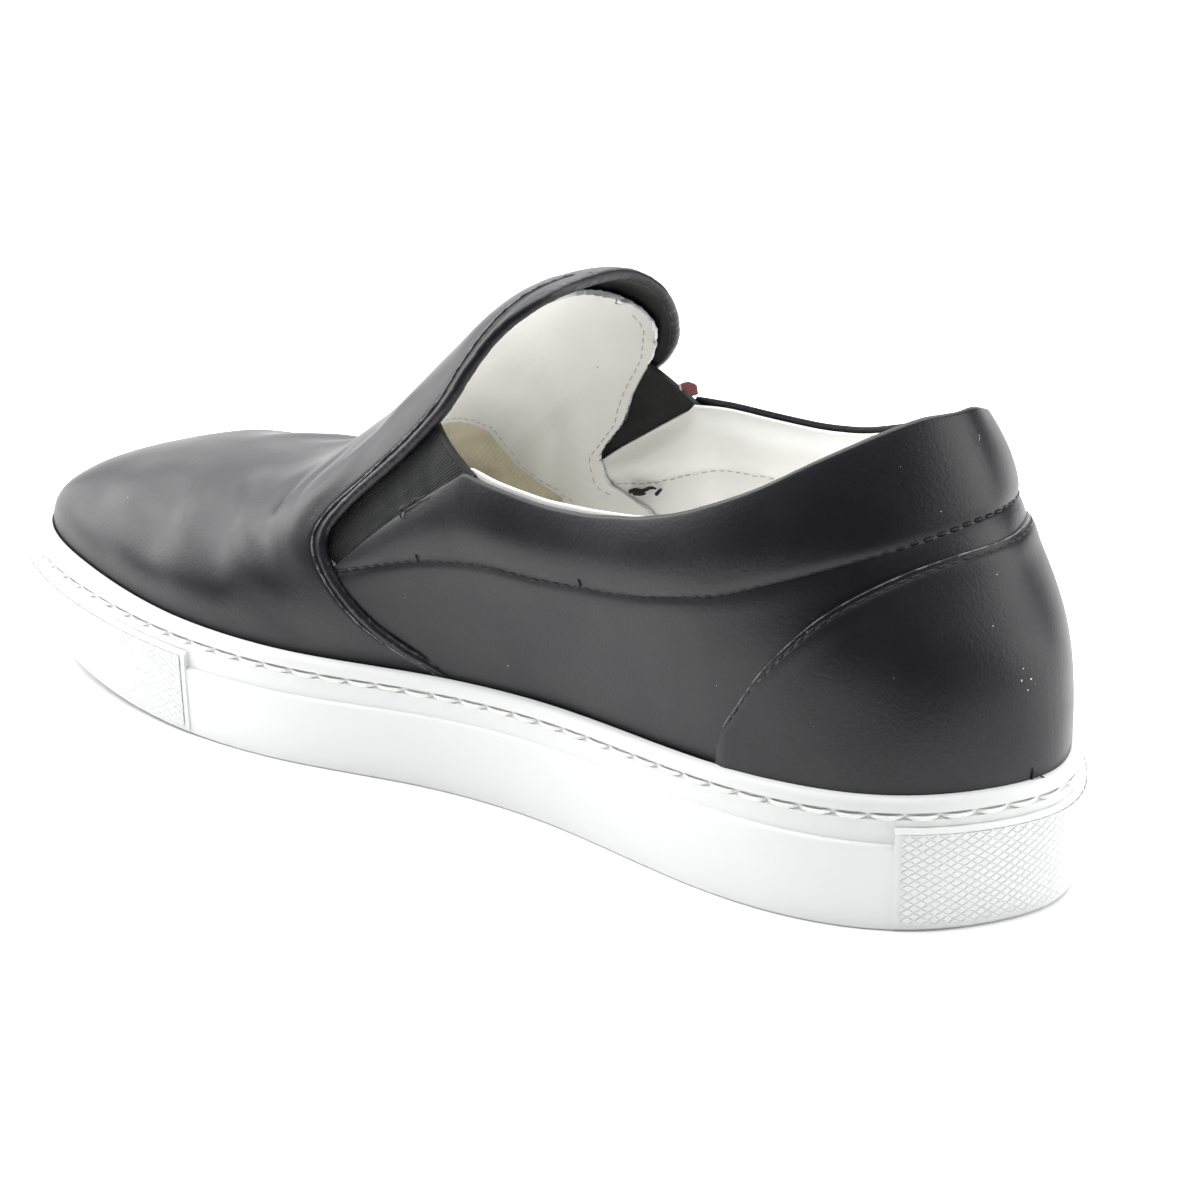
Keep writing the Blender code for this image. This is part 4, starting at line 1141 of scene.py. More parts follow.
def gusset_pieces(last, sizes, side, name, elastic, thread):
    """An elastic wedge: ribs that run up it beside the vamp's edge, and a bound top edge."""
    rise = np.linspace(0, 1, 90)[:, None]
    low, high = GUSSET_EDGE[0][0] * last.tongue_height, GUSSET_EDGE[-1][0] * last.tongue_height
    rear_height = low + 0.001 + (high - low - 0.0012) * rise
    front_height = low + 0.005 + (GUSSET_TOP * last.tongue_height - low - 0.005) * rise
    rear = last.gusset_share[side](rear_height / last.tongue_height) * last.length - 0.0024
    front = last.vamp_back(side, front_height) + 0.0016
    across = np.linspace(0, 1, 150)[None, :]
    x = rear + (np.maximum(front, rear + 0.0008) - rear) * across
    height = rear_height + (front_height - rear_height) * across
    grid = last.surface_at(side, x, height)
    normals = grid_normals(grid)
    width = np.linalg.norm(grid[-1, -1] - grid[-1, 0])
    ribs = max(6, round(width / sizes.rib))
    wave = np.abs(np.sin(math.pi * ribs * across)) ** 0.7 + 0 * rise
    cross = 0.35 * np.sin(2 * math.pi * rise * 70) * np.cos(math.pi * ribs * across)
    bound = smooth((rise - 0.955) / 0.012)
    depth = 0.0013 + 0.0005 * across
    sag = 0.0006 * np.sin(math.pi * across) * np.sin(math.pi * rise)
    outward = -depth - sag + RIB_RISE * (wave + cross * 0.3) * (1 - bound) + bound * 0.0003
    outer = grid + normals * outward[..., None]
    inner = grid + normals * (-depth - sag - GUSSET_THICK - 0.00008 * wave)[..., None]
    web = shell(last, name + "_web", outer, inner, elastic, bulge=0.0003)
    top = outer[-4]
    shown = slice(12, -8)
    sewn = stitches(last, name + "_selvedge", top[shown], normals[-4][shown], 0.0011, 0.0009, 0.00016, thread,
                    seed=12)
    return web, sewn


# What is inside


LINING = 0.0008
LINING_ROLL = 0.0013
LINING_DROP = 0.0011
LINING_PITCH = 0.0026
LINING_STITCH = 0.0020
LINING_THREAD = 0.00013
QUARTER_THREAD = 0.00012


def lining_stitches(last, name, path, facing, thread, seed, radius=LINING_THREAD, wander=0.00008):
    """A row of the linings' small stitches."""
    return stitches(last, name, path, facing, LINING_PITCH, LINING_STITCH, radius, thread,
                    wander=wander, seed=seed)



def lining_top(last, side, shares):
    """The quarter lining's upper edge: over the inner top line's front, and below the top line elsewhere."""
    height = top_heights(last, side, shares)
    x = last.point(side, shares, height=height)[:, 0]
    if side < 0:
        return height - LINING_DROP * smooth((x - 0.045) / 0.020)
    rolled = LINING_ROLL * smooth((x - 0.078) / 0.025) * smooth((0.146 - x) / 0.010)
    return height + rolled - 0.0014 * smooth((x - 0.146) / 0.008)


def under_vamp(last, sizes, grid, behind):
    """How deep the vamp's inner face lies below the last's own surface."""
    above = smooth((grid[..., 2] - last.lip_height(grid[..., 0])) / EDGE_FADE)
    raised = VAMP_STEP * (1 - smooth(behind / STEP_FADE)) * above
    creases = crease_relief(last, grid, sizes.crease) * above * smooth(behind / EDGE_FADE)
    return VAMP_BODY - raised - creases + 0.0001


def lining_pieces(last, sizes, lining, canvas, cut_edge, thread):
    """The linings: leather under the tongue and the quarters, canvas under the vamp, and their seams."""
    made = []
    grid, behind = vamp_sheet(last, 60, 90, last.lining_back, last.canvas_back, spread=1.2)
    normals = grid_normals(grid)
    low = smooth((0.72 * last.tongue_height - grid[..., 2]) / 0.012)
    thicker = 0.0013 * low * (1 - smooth((behind - 0.002) / 0.010))
    depth = under_vamp(last, sizes, grid, behind) + 0.0007 + thicker
    folds = 0.00035 * ripple(grid * np.array([1.6, 1.0, 0.45]), 0.021, 31) + 0.00035
    outer = grid - normals * depth[..., None]
    inner = grid - normals * (depth + LINING + folds)[..., None]
    ahead = unit(grid[:, 2] - grid[:, 0])
    jag = 0.00022 * np.random.default_rng(17).normal(size=len(grid))
    for sheet in (outer, inner):
        sheet[:, 0] += ahead * jag[:, None]
    made.append(shell(last, "tongue_lining", outer, inner, [lining, cut_edge],
                      bulge=0.0003, rim=1))
    reach = np.concatenate([np.zeros((len(grid), 1)),
                            np.cumsum(np.linalg.norm(np.diff(inner, axis=1), axis=2), axis=1)], axis=1)

    def line_at(distance, first, last_row):
        path, facing = [], []
        for r in range(first, last_row):
            at = distance if distance >= 0 else reach[r, -1] + distance
            path.append([np.interp(at, reach[r], inner[r, :, k]) for k in range(3)])
            facing.append([-np.interp(at, reach[r], normals[r, :, k]) for k in range(3)])
        return np.array(path), np.array(facing)

    rows = len(grid)
    edge_path, edge_facing = line_at(0.0034, rows // 2 + 22, rows - 8)
    made.append(lining_stitches(last, "tongue_lining_stitches", edge_path, edge_facing, thread, 14))
    canvas_path, canvas_facing = line_at(-0.0022, rows // 2 + 2, rows - 8)
    made.append(lining_stitches(last, "canvas_seam_stitches", canvas_path, canvas_facing, thread, 15))

    grid, behind = vamp_sheet(last, 40, 70, lambda side, h: last.canvas_back(side, h) - 0.006, spread=1.0)
    normals = grid_normals(grid)
    depth = under_vamp(last, sizes, grid, behind)
    outer = grid - normals * depth[..., None]
    inner = grid - normals * (depth + 0.0006)[..., None]
    made.append(shell(last, "canvas_lining", outer, inner, canvas))

    rows = np.concatenate([np.linspace(0, 0.93, 44), np.linspace(0.945, 1, 8)])
    grid, hidden = quarter_sheet(
        last, 150, lambda side, s: last.wall_bottom(s), lambda side, s: lining_top(last, side, s), rows)
    normals = grid_normals(grid)
    half = grid.shape[1] // 2
    side_of = np.where(np.arange(grid.shape[1]) <= half, 1, -1)
    seam = last.collar_seam(grid[..., 0]) + 0.0045 - 0.0070 * smooth((grid[..., 0] - 0.110) / 0.030)
    above = smooth((grid[..., 2] - seam) / 0.006)
    under_top = smooth((grid[-1][None, :, 2] - grid[..., 2]) / 0.007)
    tall = smooth((grid[-1][None, :, 2] - seam) / 0.012)
    puff = 0.0020 * above * under_top * tall
    dip = 0.0005 * np.exp(-((grid[..., 2] - seam) / 0.0012) ** 2)
    gore = np.zeros_like(puff)
    for side in SIDES:
        reach_back = last.gusset_share[side](GUSSET_EDGE[-1][0]) * last.length
        gore += np.where(side_of[None, :] == side, smooth((grid[..., 0] - reach_back + 0.010) / 0.012), 0)
    skin = LEATHER + 0.00004 + np.maximum(0.0012 * gore, 0.0022 * hidden)
    folds = 0.00025 * ripple(grid, 0.03, 41) * under_top
    outer = grid - normals * (skin + np.minimum(puff, 0.0012))[..., None]
    inner = grid - normals * (skin + LINING + puff - dip + folds)[..., None]
    made.append(shell(last, "quarter_lining", outer, inner, [lining, cut_edge],
                      bulge=0.0003, rim=1))
    path, facing = [], []
    for c in range(14, grid.shape[1] - 14):
        column = grid[:, c, 2] - seam[:, c]
        if column.max() < 0.003:
            continue
        r = np.interp(0.0, column, np.arange(len(rows)))
        path.append(between_rows(inner, c, r))
        facing.append(-normals[int(np.clip(math.floor(r), 0, len(rows) - 2)), c])
    made.append(lining_stitches(
        last, "quarter_lining_stitches", np.array(path), np.array(facing), thread, 16,
        QUARTER_THREAD, 0.00006))
    return made


INSOLE = 0.0036
INSOLE_CUP = 0.0032
INSOLE_ARCH = 0.0030


def insole_piece(last, material):
    """The insole: a soft leather-topped pad with a cupped heel, on the cup's floor."""
    rows = np.linspace(0.0, 1.0, 150)
    across = np.sin(np.linspace(-1, 1, 61) * math.pi / 2)
    shares = np.linspace(0, 1, 900)
    edge = {}
    for side in SIDES:
        rim, _ = last.foot(side, shares, last.upper_inset(shares) + 0.0036)
        edge[side] = rim
    start = max(edge[1][:, 0].min(), edge[-1][:, 0].min()) + 0.0004
    end = min(edge[1][:, 0].max(), edge[-1][:, 0].max()) - 0.0004
    x = start + (end - start) * (0.5 - 0.5 * np.cos(math.pi * rows))
    apart = np.arange(900) * 1e-9
    halves = {side: np.interp(x, np.maximum.accumulate(edge[side][:, 0]) + apart, edge[side][:, 1])
              for side in SIDES}
    middle, half = (halves[1] + halves[-1]) / 2, (halves[1] - halves[-1]) / 2
    y = middle[:, None] + half[:, None] * across[None, :]
    x = np.broadcast_to(x[:, None], y.shape)
    floor = last.floor_height(x) + GAP
    cup = INSOLE_CUP * np.abs(across[None, :]) ** 3 * (1 - smooth((x / last.length - 0.25) / 0.25))
    arch = INSOLE_ARCH * np.clip(across[None, :], 0, 1) ** 2 * np.exp(-((x / last.length - 0.42) / 0.13) ** 2)
    rim = np.minimum((half[:, None] * (1 - np.abs(across)[None, :])), np.minimum(x - start, end - x) + 0.0002)
    welt = -0.0005 * np.exp(-((rim - 0.0035) / 0.0007) ** 2) - 0.0009 * np.exp(-(rim / 0.0012) ** 2)
    soft = 0.0003 * ripple(np.stack([x, y, 0 * x], axis=-1), 0.05, 51)
    top = np.stack([x, y, floor + INSOLE + cup + arch + welt + soft], axis=-1)
    bottom = np.stack([x, y, floor + 0 * y], axis=-1)
    pad = shell(last, "insole_pad", top, bottom, material, bulge=0.0001)
    return pad


def axes_at(last, side, x, z, step=0.001):
    """A place on the upper's surface, and the directions along it, up it and out of it."""
    base, ahead, higher = last.surface_at(side, np.array([x, x + step, x]), np.array([z, z, z + step]))
    along, up = unit(ahead - base), unit(higher - base)
    normal = np.cross(along, up)
    return base, along, up, normal * (np.sign(normal[1]) * side)


TAB_ALONG = 0.4270
TAB_UP = 0.683
TAB_TALL = 0.0040
TAB_SAG = 0.0019
TAB_ROUND = 0.42
TAPE = 0.00035


def tab_piece(last, tape, pale):
    """A small plain woven tab, folded over, standing out from the outer gusset's top edge."""
    x, z = TAB_ALONG * last.length, TAB_UP * last.tongue_height
    foot_point, along, up, out = axes_at(last, -1, x, z, 0.002)
    up = unit(np.cross(out, along)) * np.sign(np.cross(out, along)[2])
    outline = [(0.0, -0.0003), (0.0022, -0.0006), (0.0040, -0.0007)]
    for t in np.linspace(-math.pi / 2, math.pi / 2, 9):
        outline.append((0.0045 + 0.0007 * math.cos(t), 0.0007 * math.sin(t)))
    outline += [(0.0040, 0.0007), (0.0022, 0.0006), (0.0, 0.0003)]
    spread = np.linspace(-0.5, 0.5, 15)
    outer, inner = [], []
    for a, b in outline:
        sag = TAB_SAG * (a / 0.005) ** 2
        tall = TAB_TALL * (1 - TAB_ROUND * float(smooth((a - 0.0026) / 0.0026)))
        line = [foot_point + out * (a - 0.0022) + up * (s * tall - sag) + along * b for s in spread]
        outer.append(line)
    outer = np.array(outer)
    centre = outer.mean(axis=0, keepdims=True)
    normal = grid_normals(outer)
    turned = np.sign((normal * (outer - centre)).sum(-1).mean())
    inner = outer - normal * turned * TAPE
    tab = shell(last, "folded_tab", outer, inner, [tape, pale], bulge=0.00005, rim=1)
    return tab


# How deep under the upper's outer surface the lining's face is
INSIDE = 0.0042
# Each loose end of thread: side, whether it is inside, thread, radius in mm, and its points as
# along in mm, height in mm and how far it stands off the surface in mm.
LOOSE_ENDS = (
    (-1, True, "pale", 0.20, ((134.4, 106.4, 0.3), (133.6, 107.4, 1.6), (132.4, 108.4, 2.2),
        (131.6, 107.6, 2.0), (132.0, 105.6, 1.2))),
    (-1, True, "pale", 0.14, ((128.5, 97.0, 0.2), (127.6, 98.2, 0.9), (127.0, 99.4, 0.7))),
    (-1, True, "black", 0.60, ((141.8, 50.4, 0.2), (139.6, 51.4, 0.8), (137.6, 51.6, 0.6),
        (135.2, 52.9, 0.7), (133.4, 53.0, 0.3))),
    (-1, True, "black", 0.50, ((140.6, 50.2, 0.2), (138.4, 50.6, 0.6), (136.8, 51.0, 0.2))),
    (-1, True, "black", 0.50, ((133.4, 51.6, 0.2), (132.4, 52.6, 0.5), (131.8, 53.4, 0.2))),
    (1, False, "black", 0.38, ((150.4, 64.6, 0.2), (149.2, 65.6, 0.5), (148.0, 66.2, 0.4),
        (146.8, 67.4, 0.5))),
    (1, False, "black", 0.30, ((147.0, 67.0, 0.2), (145.4, 68.4, 0.6), (144.2, 68.6, 0.5),
        (142.6, 69.8, 0.3))),
    (1, False, "black", 0.22, ((149.4, 64.8, 0.1), (149.9, 63.8, 0.5), (149.3, 62.9, 0.4))),
    (1, False, "black", 0.20, ((145.4, 53.8, 0.0), (145.0, 55.0, 0.5), (145.3, 56.0, 0.4))),
    (1, False, "black", 0.20, ((98.8, 58.8, 0.0), (98.4, 60.0, 0.5), (98.9, 61.2, 0.3))),
    (1, False, "black", 0.24, ((5.6, 29.4, 0.9), (5.5, 31.2, 1.2), (5.4, 33.4, 0.6))),
    (1, False, "black", 0.20, ((5.5, 31.4, 1.1), (4.9, 30.2, 1.5), (4.6, 29.0, 1.7))),
    (1, False, "pale", 0.05, ((24.8, 96.2, 0.8), (25.0, 96.8, 1.2), (25.3, 97.4, 1.1))),
)


def loose_end_pieces(last, threads):
    """The cut thread ends and frayed bits left at the seams."""
    made = {}
    for side, inside, colour, radius, marks in LOOSE_ENDS:
        marks = np.array(marks) * MM
        t, dense = np.linspace(0, 1, len(marks)), np.linspace(0, 1, 16)
        curve = np.stack([cubic(list(zip(t, column)), 1)(dense) for column in marks.T], axis=-1)
        base = last.surface_at(side, curve[:, 0], curve[:, 1])
        nearby = last.surface_at(side, curve[:, 0] + 0.001, curve[:, 1])
        higher = last.surface_at(side, curve[:, 0], curve[:, 1] + 0.001)
        normal = unit(np.cross(nearby - base, higher - base))
        normal = normal * np.sign(normal[:, 1] * side)[:, None]
        skin = -INSIDE if inside else 0.0004
        spots = base + normal * (skin - curve[:, 2] if inside else skin + curve[:, 2])[:, None]
        size = radius * MM * np.interp(dense, (0, 0.1, 0.8, 1), (1, 1, 0.8, 0.3))
        made.setdefault(colour, []).append(tube(spots, size, normal, 6))
    pieces = []
    for colour, parts in made.items():
        pieces.append(round_piece(last, "loose_ends_" + colour, parts, threads[colour]))
    return pieces


DUST_COUNT = 16
DUST_SPOT = ((0.0052, 0.048), (0.0080, 0.060))


def dust_piece(last, pale):
    """A few crumbs of dust that cling to the back of the heel counter."""
    random = np.random.default_rng(91)
    (near, low), (far, high) = DUST_SPOT
    parts = []
    for _ in range(DUST_COUNT):
        x, z = random.uniform(near, far), random.uniform(low, high)
        base, along, up, normal = axes_at(last, 1, x, z)
        size = random.uniform(0.00008, 0.00020)
        way = unit(along * random.normal() + up * random.normal())
        start = base + normal * (COUNTER_SKIN + GAP + 0.3 * size)
        path = np.array([start + way * size * t for t in np.linspace(-1.2, 1.2, 5)])
        parts.append(tube(path, size * np.array([0.3, 0.9, 1.0, 0.8, 0.3]), np.tile(normal, (5, 1)), 6))
    return round_piece(last, "heel_dust", parts, pale)


FRAY = 70


def fray_piece(last, thread):
    """Short frayed fibres along the cut front edge of the outer gusset, seen from the mouth."""
    random = np.random.default_rng(77)
    parts = []
    for _ in range(FRAY):
        z = random.uniform(0.452, 0.640) * last.tongue_height
        x = last.lining_back(-1, z) - 0.0002 + random.normal() * 0.0002
        base, along, up, normal = axes_at(last, -1, x, z)
        way = along * random.uniform(0.4, 1.0) + up * random.normal() * 0.5
        start = base - unit(normal) * INSIDE
        reach = random.uniform(0.0006, 0.0016)
        t = np.linspace(-0.3, 1, 6)[:, None]
        spots = start + way * reach * t - normal * 0.0005 * np.sin(3 * t)
        parts.append(tube(spots, 0.00007 * np.linspace(1, 0.4, 6), np.tile(normal, (6, 1)), 5))
    return round_piece(last, "gusset_fray", parts, thread)


# Materials


def give(tree, made, inputs):
    """Sets a node's inputs, to numbers or colours or from other nodes' sockets."""
    for name, value in inputs.items():
        if isinstance(value, bpy.types.NodeSocket):
            tree.links.new(value, made.inputs[name])
        else:
            made.inputs[name].default_value = value
    return made


def node(tree, kind, inputs=None, **settings):
    """A new node with its settings and its inputs."""
    made = tree.nodes.new(kind)
    for name, value in settings.items():
        setattr(made, name, value)
    return give(tree, made, inputs or {})


def noise(tree, place, scale, detail):
    values = {"Vector": place, "Scale": scale, "Detail": detail}
    return node(tree, "ShaderNodeTexNoise", values).outputs["Fac"]


def maths(tree, operation, a, b=0.0):
    return node(tree, "ShaderNodeMath", {0: a, 1: b}, operation=operation).outputs[0]


def ramp(tree, value, low, high, start=0.0, end=1.0):
    """A value mapped softly from one range to another."""
    limits = {"Value": value, "From Min": low, "From Max": high, "To Min": start, "To Max": end}
    return node(tree, "ShaderNodeMapRange", limits, interpolation_type="SMOOTHSTEP").outputs["Result"]


def mixed(tree, share, first, second):
    return node(tree, "ShaderNodeMix", data_type="RGBA", inputs={0: share, 6: first, 7: second}).outputs[2]


def group(name, values, results):
    """A new shader node group that works on a place: its tree, what goes in and what comes out."""
    tree = bpy.data.node_groups.new(name, "ShaderNodeTree")
    tree.interface.new_socket("Vector", in_out="INPUT", socket_type="NodeSocketVector")
    for label, value in values.items():
        tree.interface.new_socket(label, in_out="INPUT", socket_type="NodeSocketFloat").default_value = value
    for label in results:
        tree.interface.new_socket(label, in_out="OUTPUT", socket_type="NodeSocketFloat")
    return tree, tree.nodes.new("NodeGroupInput").outputs, tree.nodes.new("NodeGroupOutput").inputs


def grain_group():
    """Fine leather grain: small pebbles and pores, with a slower unevenness."""
    tree, given, out = group("leather_grain", {"Pebble Scale": 1500.0}, ("Height", "Mottle"))
    pebble = node(tree, "ShaderNodeTexVoronoi", {"Vector": given["Vector"], "Scale": given["Pebble Scale"]},
                  feature="SMOOTH_F1")
    fine = noise(tree, given["Vector"], 900.0, 4.0)
    dome = maths(tree, "SUBTRACT", 1.0, pebble.outputs["Distance"])
    both = maths(tree, "ADD", maths(tree, "MULTIPLY", dome, 0.6), maths(tree, "MULTIPLY", fine, 0.6))
    tree.links.new(both, out["Height"])
    tree.links.new(noise(tree, given["Vector"], 55.0, 3.0), out["Mottle"])


def dust_group():
    """Sparse specks of dust: a few cells of a fine pattern hold a small round speck each."""
    tree, given, out = group("dust_specks", {"Cells": 260.0, "Share": 0.02, "Radius": 0.06}, ("Mask",))
    cells = node(tree, "ShaderNodeTexVoronoi", {"Vector": given["Vector"], "Scale": given["Cells"]})
    colour = node(tree, "ShaderNodeSeparateColor", {"Color": cells.outputs["Color"]})
    chosen = maths(tree, "LESS_THAN", colour.outputs[0], given["Share"])
    size = maths(tree, "MULTIPLY", given["Radius"], maths(tree, "ADD", colour.outputs[1], 0.3))
    round_part = maths(tree, "LESS_THAN", cells.outputs["Distance"], size)
    tree.links.new(maths(tree, "MULTIPLY", chosen, round_part), out["Mask"])


def wear_group():
    """Rubbed streaks and patches, for edges and for scuffs."""
    tree, given, out = group("rubbed_wear", {"Scale": 200.0, "Level": 0.6}, ("Mask",))
    streaks = node(tree, "ShaderNodeTexNoise", {
        "Vector": given["Vector"], "Scale": given["Scale"], "Detail": 5.0, "Roughness": 0.65})
    made = node(tree, "ShaderNodeMapRange", {
        "Value": streaks.outputs["Fac"], "From Min": given["Level"],
        "From Max": maths(tree, "ADD", given["Level"], 0.12)})
    tree.links.new(made.outputs["Result"], out["Mask"])


def weave_group():
    """A plain weave: over and under bands on two ways across the cloth."""
    tree, given, out = group("plain_weave", {"Threads": 1800.0}, ("Height", "Mottle"))
    parts = node(tree, "ShaderNodeSeparateXYZ", {"Vector": given["Vector"]})
    bands = []
    for axis in ("X", "Z"):
        pace = maths(tree, "MULTIPLY", given["Threads"], 3.14159)
        turn = maths(tree, "MULTIPLY", parts.outputs[axis], pace)
        bands.append(maths(tree, "SINE", turn))
    over = maths(tree, "MULTIPLY", bands[0], bands[1])
    fuzz = noise(tree, given["Vector"], 1600.0, 3.0)
    tree.links.new(maths(tree, "ADD", maths(tree, "MULTIPLY", over, 0.5), fuzz), out["Height"])
    tree.links.new(noise(tree, given["Vector"], 120.0, 2.0), out["Mottle"])


def use(tree, name, inputs):
    """A node that places a shared group in a material, with its own values."""
    made = tree.nodes.new("ShaderNodeGroup")
    made.node_tree = bpy.data.node_groups[name]
    return give(tree, made, inputs)


def new_material(name):
    material = bpy.data.materials.new(name)
    material.use_nodes = True
    tree = material.node_tree
    shader = tree.nodes["Principled BSDF"]
    place = node(tree, "ShaderNodeTexCoord").outputs["Object"]
    return material, tree, shader, place


def bump(tree, shader, height, distance, strength=1.0):
    made = node(tree, "ShaderNodeBump", {"Height": height, "Distance": distance, "Strength": strength})
    tree.links.new(made.outputs["Normal"], shader.inputs["Normal"])


def tinted(colour, factor):
    return (colour[0] * factor, colour[1] * factor, colour[2] * factor, 1.0)


def leather_material(name, colour, specks, wear_level, wear_colour, roughness):
    """Smooth black leather: fine grain, cloudy sheen, a few dust specks and rubbed places."""
    material, tree, shader, place = new_material(name)
    grain = use(tree, "leather_grain", {"Vector": place, "Pebble Scale": 1500.0})
    base = mixed(tree, grain.outputs["Mottle"], tinted(colour, 0.8), tinted(colour, 1.3))
    wear = use(tree, "rubbed_wear", {"Vector": place, "Scale": 240.0, "Level": wear_level})
    base = mixed(tree, wear.outputs["Mask"], base, wear_colour)
    dust = use(tree, "dust_specks", {"Vector": place, "Cells": 420.0, "Share": specks, "Radius": 0.055})
    base = mixed(tree, dust.outputs["Mask"], base, (0.45, 0.44, 0.42, 1))
    tree.links.new(base, shader.inputs["Base Color"])
    rough = ramp(tree, grain.outputs["Mottle"], 0.3, 0.7, roughness - 0.03, roughness + 0.04)
    dusty = maths(tree, "MULTIPLY", dust.outputs["Mask"], 0.3)
    tree.links.new(maths(tree, "ADD", rough, dusty), shader.inputs["Roughness"])
    shader.inputs["Specular IOR Level"].default_value = 0.42
    bump(tree, shader, grain.outputs["Height"], 0.00007, 0.7)
    return material


def worn_and_highlight_material(name, colour):
    """A thin leather edge line, dark with patches of lighter grey: partly rubbed-through finish, partly a
    painted highlight where the edge's rounding catches the light.
    """
    material, tree, shader, place = new_material(name)
    wear = use(tree, "rubbed_wear", {"Vector": place, "Scale": 420.0, "Level": 0.42})
    base = mixed(tree, wear.outputs["Mask"], tinted(colour, 0.12), colour)
    tree.links.new(base, shader.inputs["Base Color"])
    shader.inputs["Roughness"].default_value = 0.38
    return material


def rubber_material(name, colour):
    """Matt white moulded rubber with a faint cloudiness and a fine skin."""
    material, tree, shader, place = new_material(name)
    slow = noise(tree, place, 40.0, 4.0)
    base = mixed(tree, slow, tinted(colour, 0.985), tinted(colour, 1.01))
    wear = use(tree, "rubbed_wear", {"Vector": place, "Scale": 60.0, "Level": 0.66})
    base = mixed(tree, maths(tree, "MULTIPLY", wear.outputs["Mask"], 0.25), base, (0.76, 0.76, 0.75, 1))
    tree.links.new(base, shader.inputs["Base Color"])
    tree.links.new(ramp(tree, slow, 0.3, 0.7, 0.42, 0.52), shader.inputs["Roughness"])
    bump(tree, shader, noise(tree, place, 1400.0, 3.0), 0.00004, 0.5)
    return material


def lining_material(name, colour, grain_scale=1100.0):
    """Pale soft leather with fine grain and faint yellowed marks."""
    material, tree, shader, place = new_material(name)
    grain = use(tree, "leather_grain", {"Vector": place, "Pebble Scale": grain_scale})
    base = mixed(tree, grain.outputs["Mottle"], tinted(colour, 0.97), tinted(colour, 1.02))
    stain = use(tree, "rubbed_wear", {"Vector": place, "Scale": 130.0, "Level": 0.70})
    base = mixed(tree, maths(tree, "MULTIPLY", stain.outputs["Mask"], 0.5), base, (0.72, 0.62, 0.38, 1))
    dust = use(tree, "dust_specks", {"Vector": place, "Cells": 240.0, "Share": 0.012, "Radius": 0.10})
    base = mixed(tree, dust.outputs["Mask"], base, (0.30, 0.29, 0.27, 1))
    tree.links.new(base, shader.inputs["Base Color"])
    tree.links.new(ramp(tree, grain.outputs["Mottle"], 0.3, 0.7, 0.55, 0.68), shader.inputs["Roughness"])
    bump(tree, shader, grain.outputs["Height"], 0.00008, 0.6)
    return material


def cloth_material(name, colour, threads, roughness, relief):
    """Woven cloth or webbing with a fuzzy surface."""
    material, tree, shader, place = new_material(name)
    weave = use(tree, "plain_weave", {"Vector": place, "Threads": threads})
    base = mixed(tree, weave.outputs["Mottle"], tinted(colour, 0.8), tinted(colour, 1.15))
    tree.links.new(base, shader.inputs["Base Color"])
    tree.links.new(ramp(tree, weave.outputs["Mottle"], 0.3, 0.7, roughness - 0.05, roughness + 0.05),
                   shader.inputs["Roughness"])
    shader.inputs["Sheen Weight"].default_value = 0.04
    shader.inputs["Sheen Roughness"].default_value = 0.5
    bump(tree, shader, weave.outputs["Height"], relief, 0.8)
    return material


def thread_material(name, colour):
    """Twisted sewing thread."""
    material, tree, shader, place = new_material(name)
    twist = noise(tree, place, 2600.0, 2.0)
    base = mixed(tree, twist, tinted(colour, 0.75), tinted(colour, 1.15))
    tree.links.new(base, shader.inputs["Base Color"])
    tree.links.new(ramp(tree, twist, 0.3, 0.7, 0.5, 0.7), shader.inputs["Roughness"])
    bump(tree, shader, twist, 0.00008, 0.8)
    return material


def build_materials(colours):
    """Every finish of the shoe, kept under its own name."""
    for make in (grain_group, dust_group, wear_group, weave_group):
        make()
    black = tuple(colours.leather)
    leather_material("upper_leather", black, 0.060, 0.90, (0.06, 0.06, 0.06, 1), 0.40)
    leather_material("counter_leather", black, 0.130, 0.90, (0.06, 0.06, 0.06, 1), 0.42)
    leather_material("rolled_edge_leather", black, 0.04, 0.60, (0.085, 0.085, 0.088, 1), 0.38)
    # The edge lines' lighter grey is partly rubbed wear and partly a painted highlight along the edges.
    worn_and_highlight_material("worn_edge_painted_highlight", (0.15, 0.15, 0.155, 1))
    rubber_material("cup_rubber", tuple(colours.rubber))
    lining_material("lining_leather", tuple(colours.lining))
    lining_material("insole_leather_top", tinted(colours.lining, 0.97), 900.0)
    thread_material("cut_lining_edge", (0.84, 0.85, 0.86, 1))
    cloth_material("lining_canvas", tuple(colours.canvas), 1500.0, 0.85, 0.00012)
    cloth_material("gusset_elastic", tuple(colours.elastic), 2600.0, 0.75, 0.00008)
    cloth_material("tab_tape", tuple(colours.tape), 2400.0, 0.7, 0.00010)
    thread_material("black_thread", (0.006, 0.006, 0.0065, 1))
    thread_material("sole_thread", (0.86, 0.86, 0.84, 1))
    thread_material("grey_thread", (0.52, 0.52, 0.50, 1))
    thread_material("pale_thread", (0.82, 0.82, 0.80, 1))


def material(name):
    return bpy.data.materials[name]


# Operators


class SNEAKER_OT_materials(bpy.types.Operator):
    """Makes the leather, rubber, lining, cloth and thread materials"""

    bl_idname = "sneaker.materials"
    bl_label = "Materials"

    def execute(self, context):
        build_materials(context.scene.sneaker_colours)
        return {"FINISHED"}


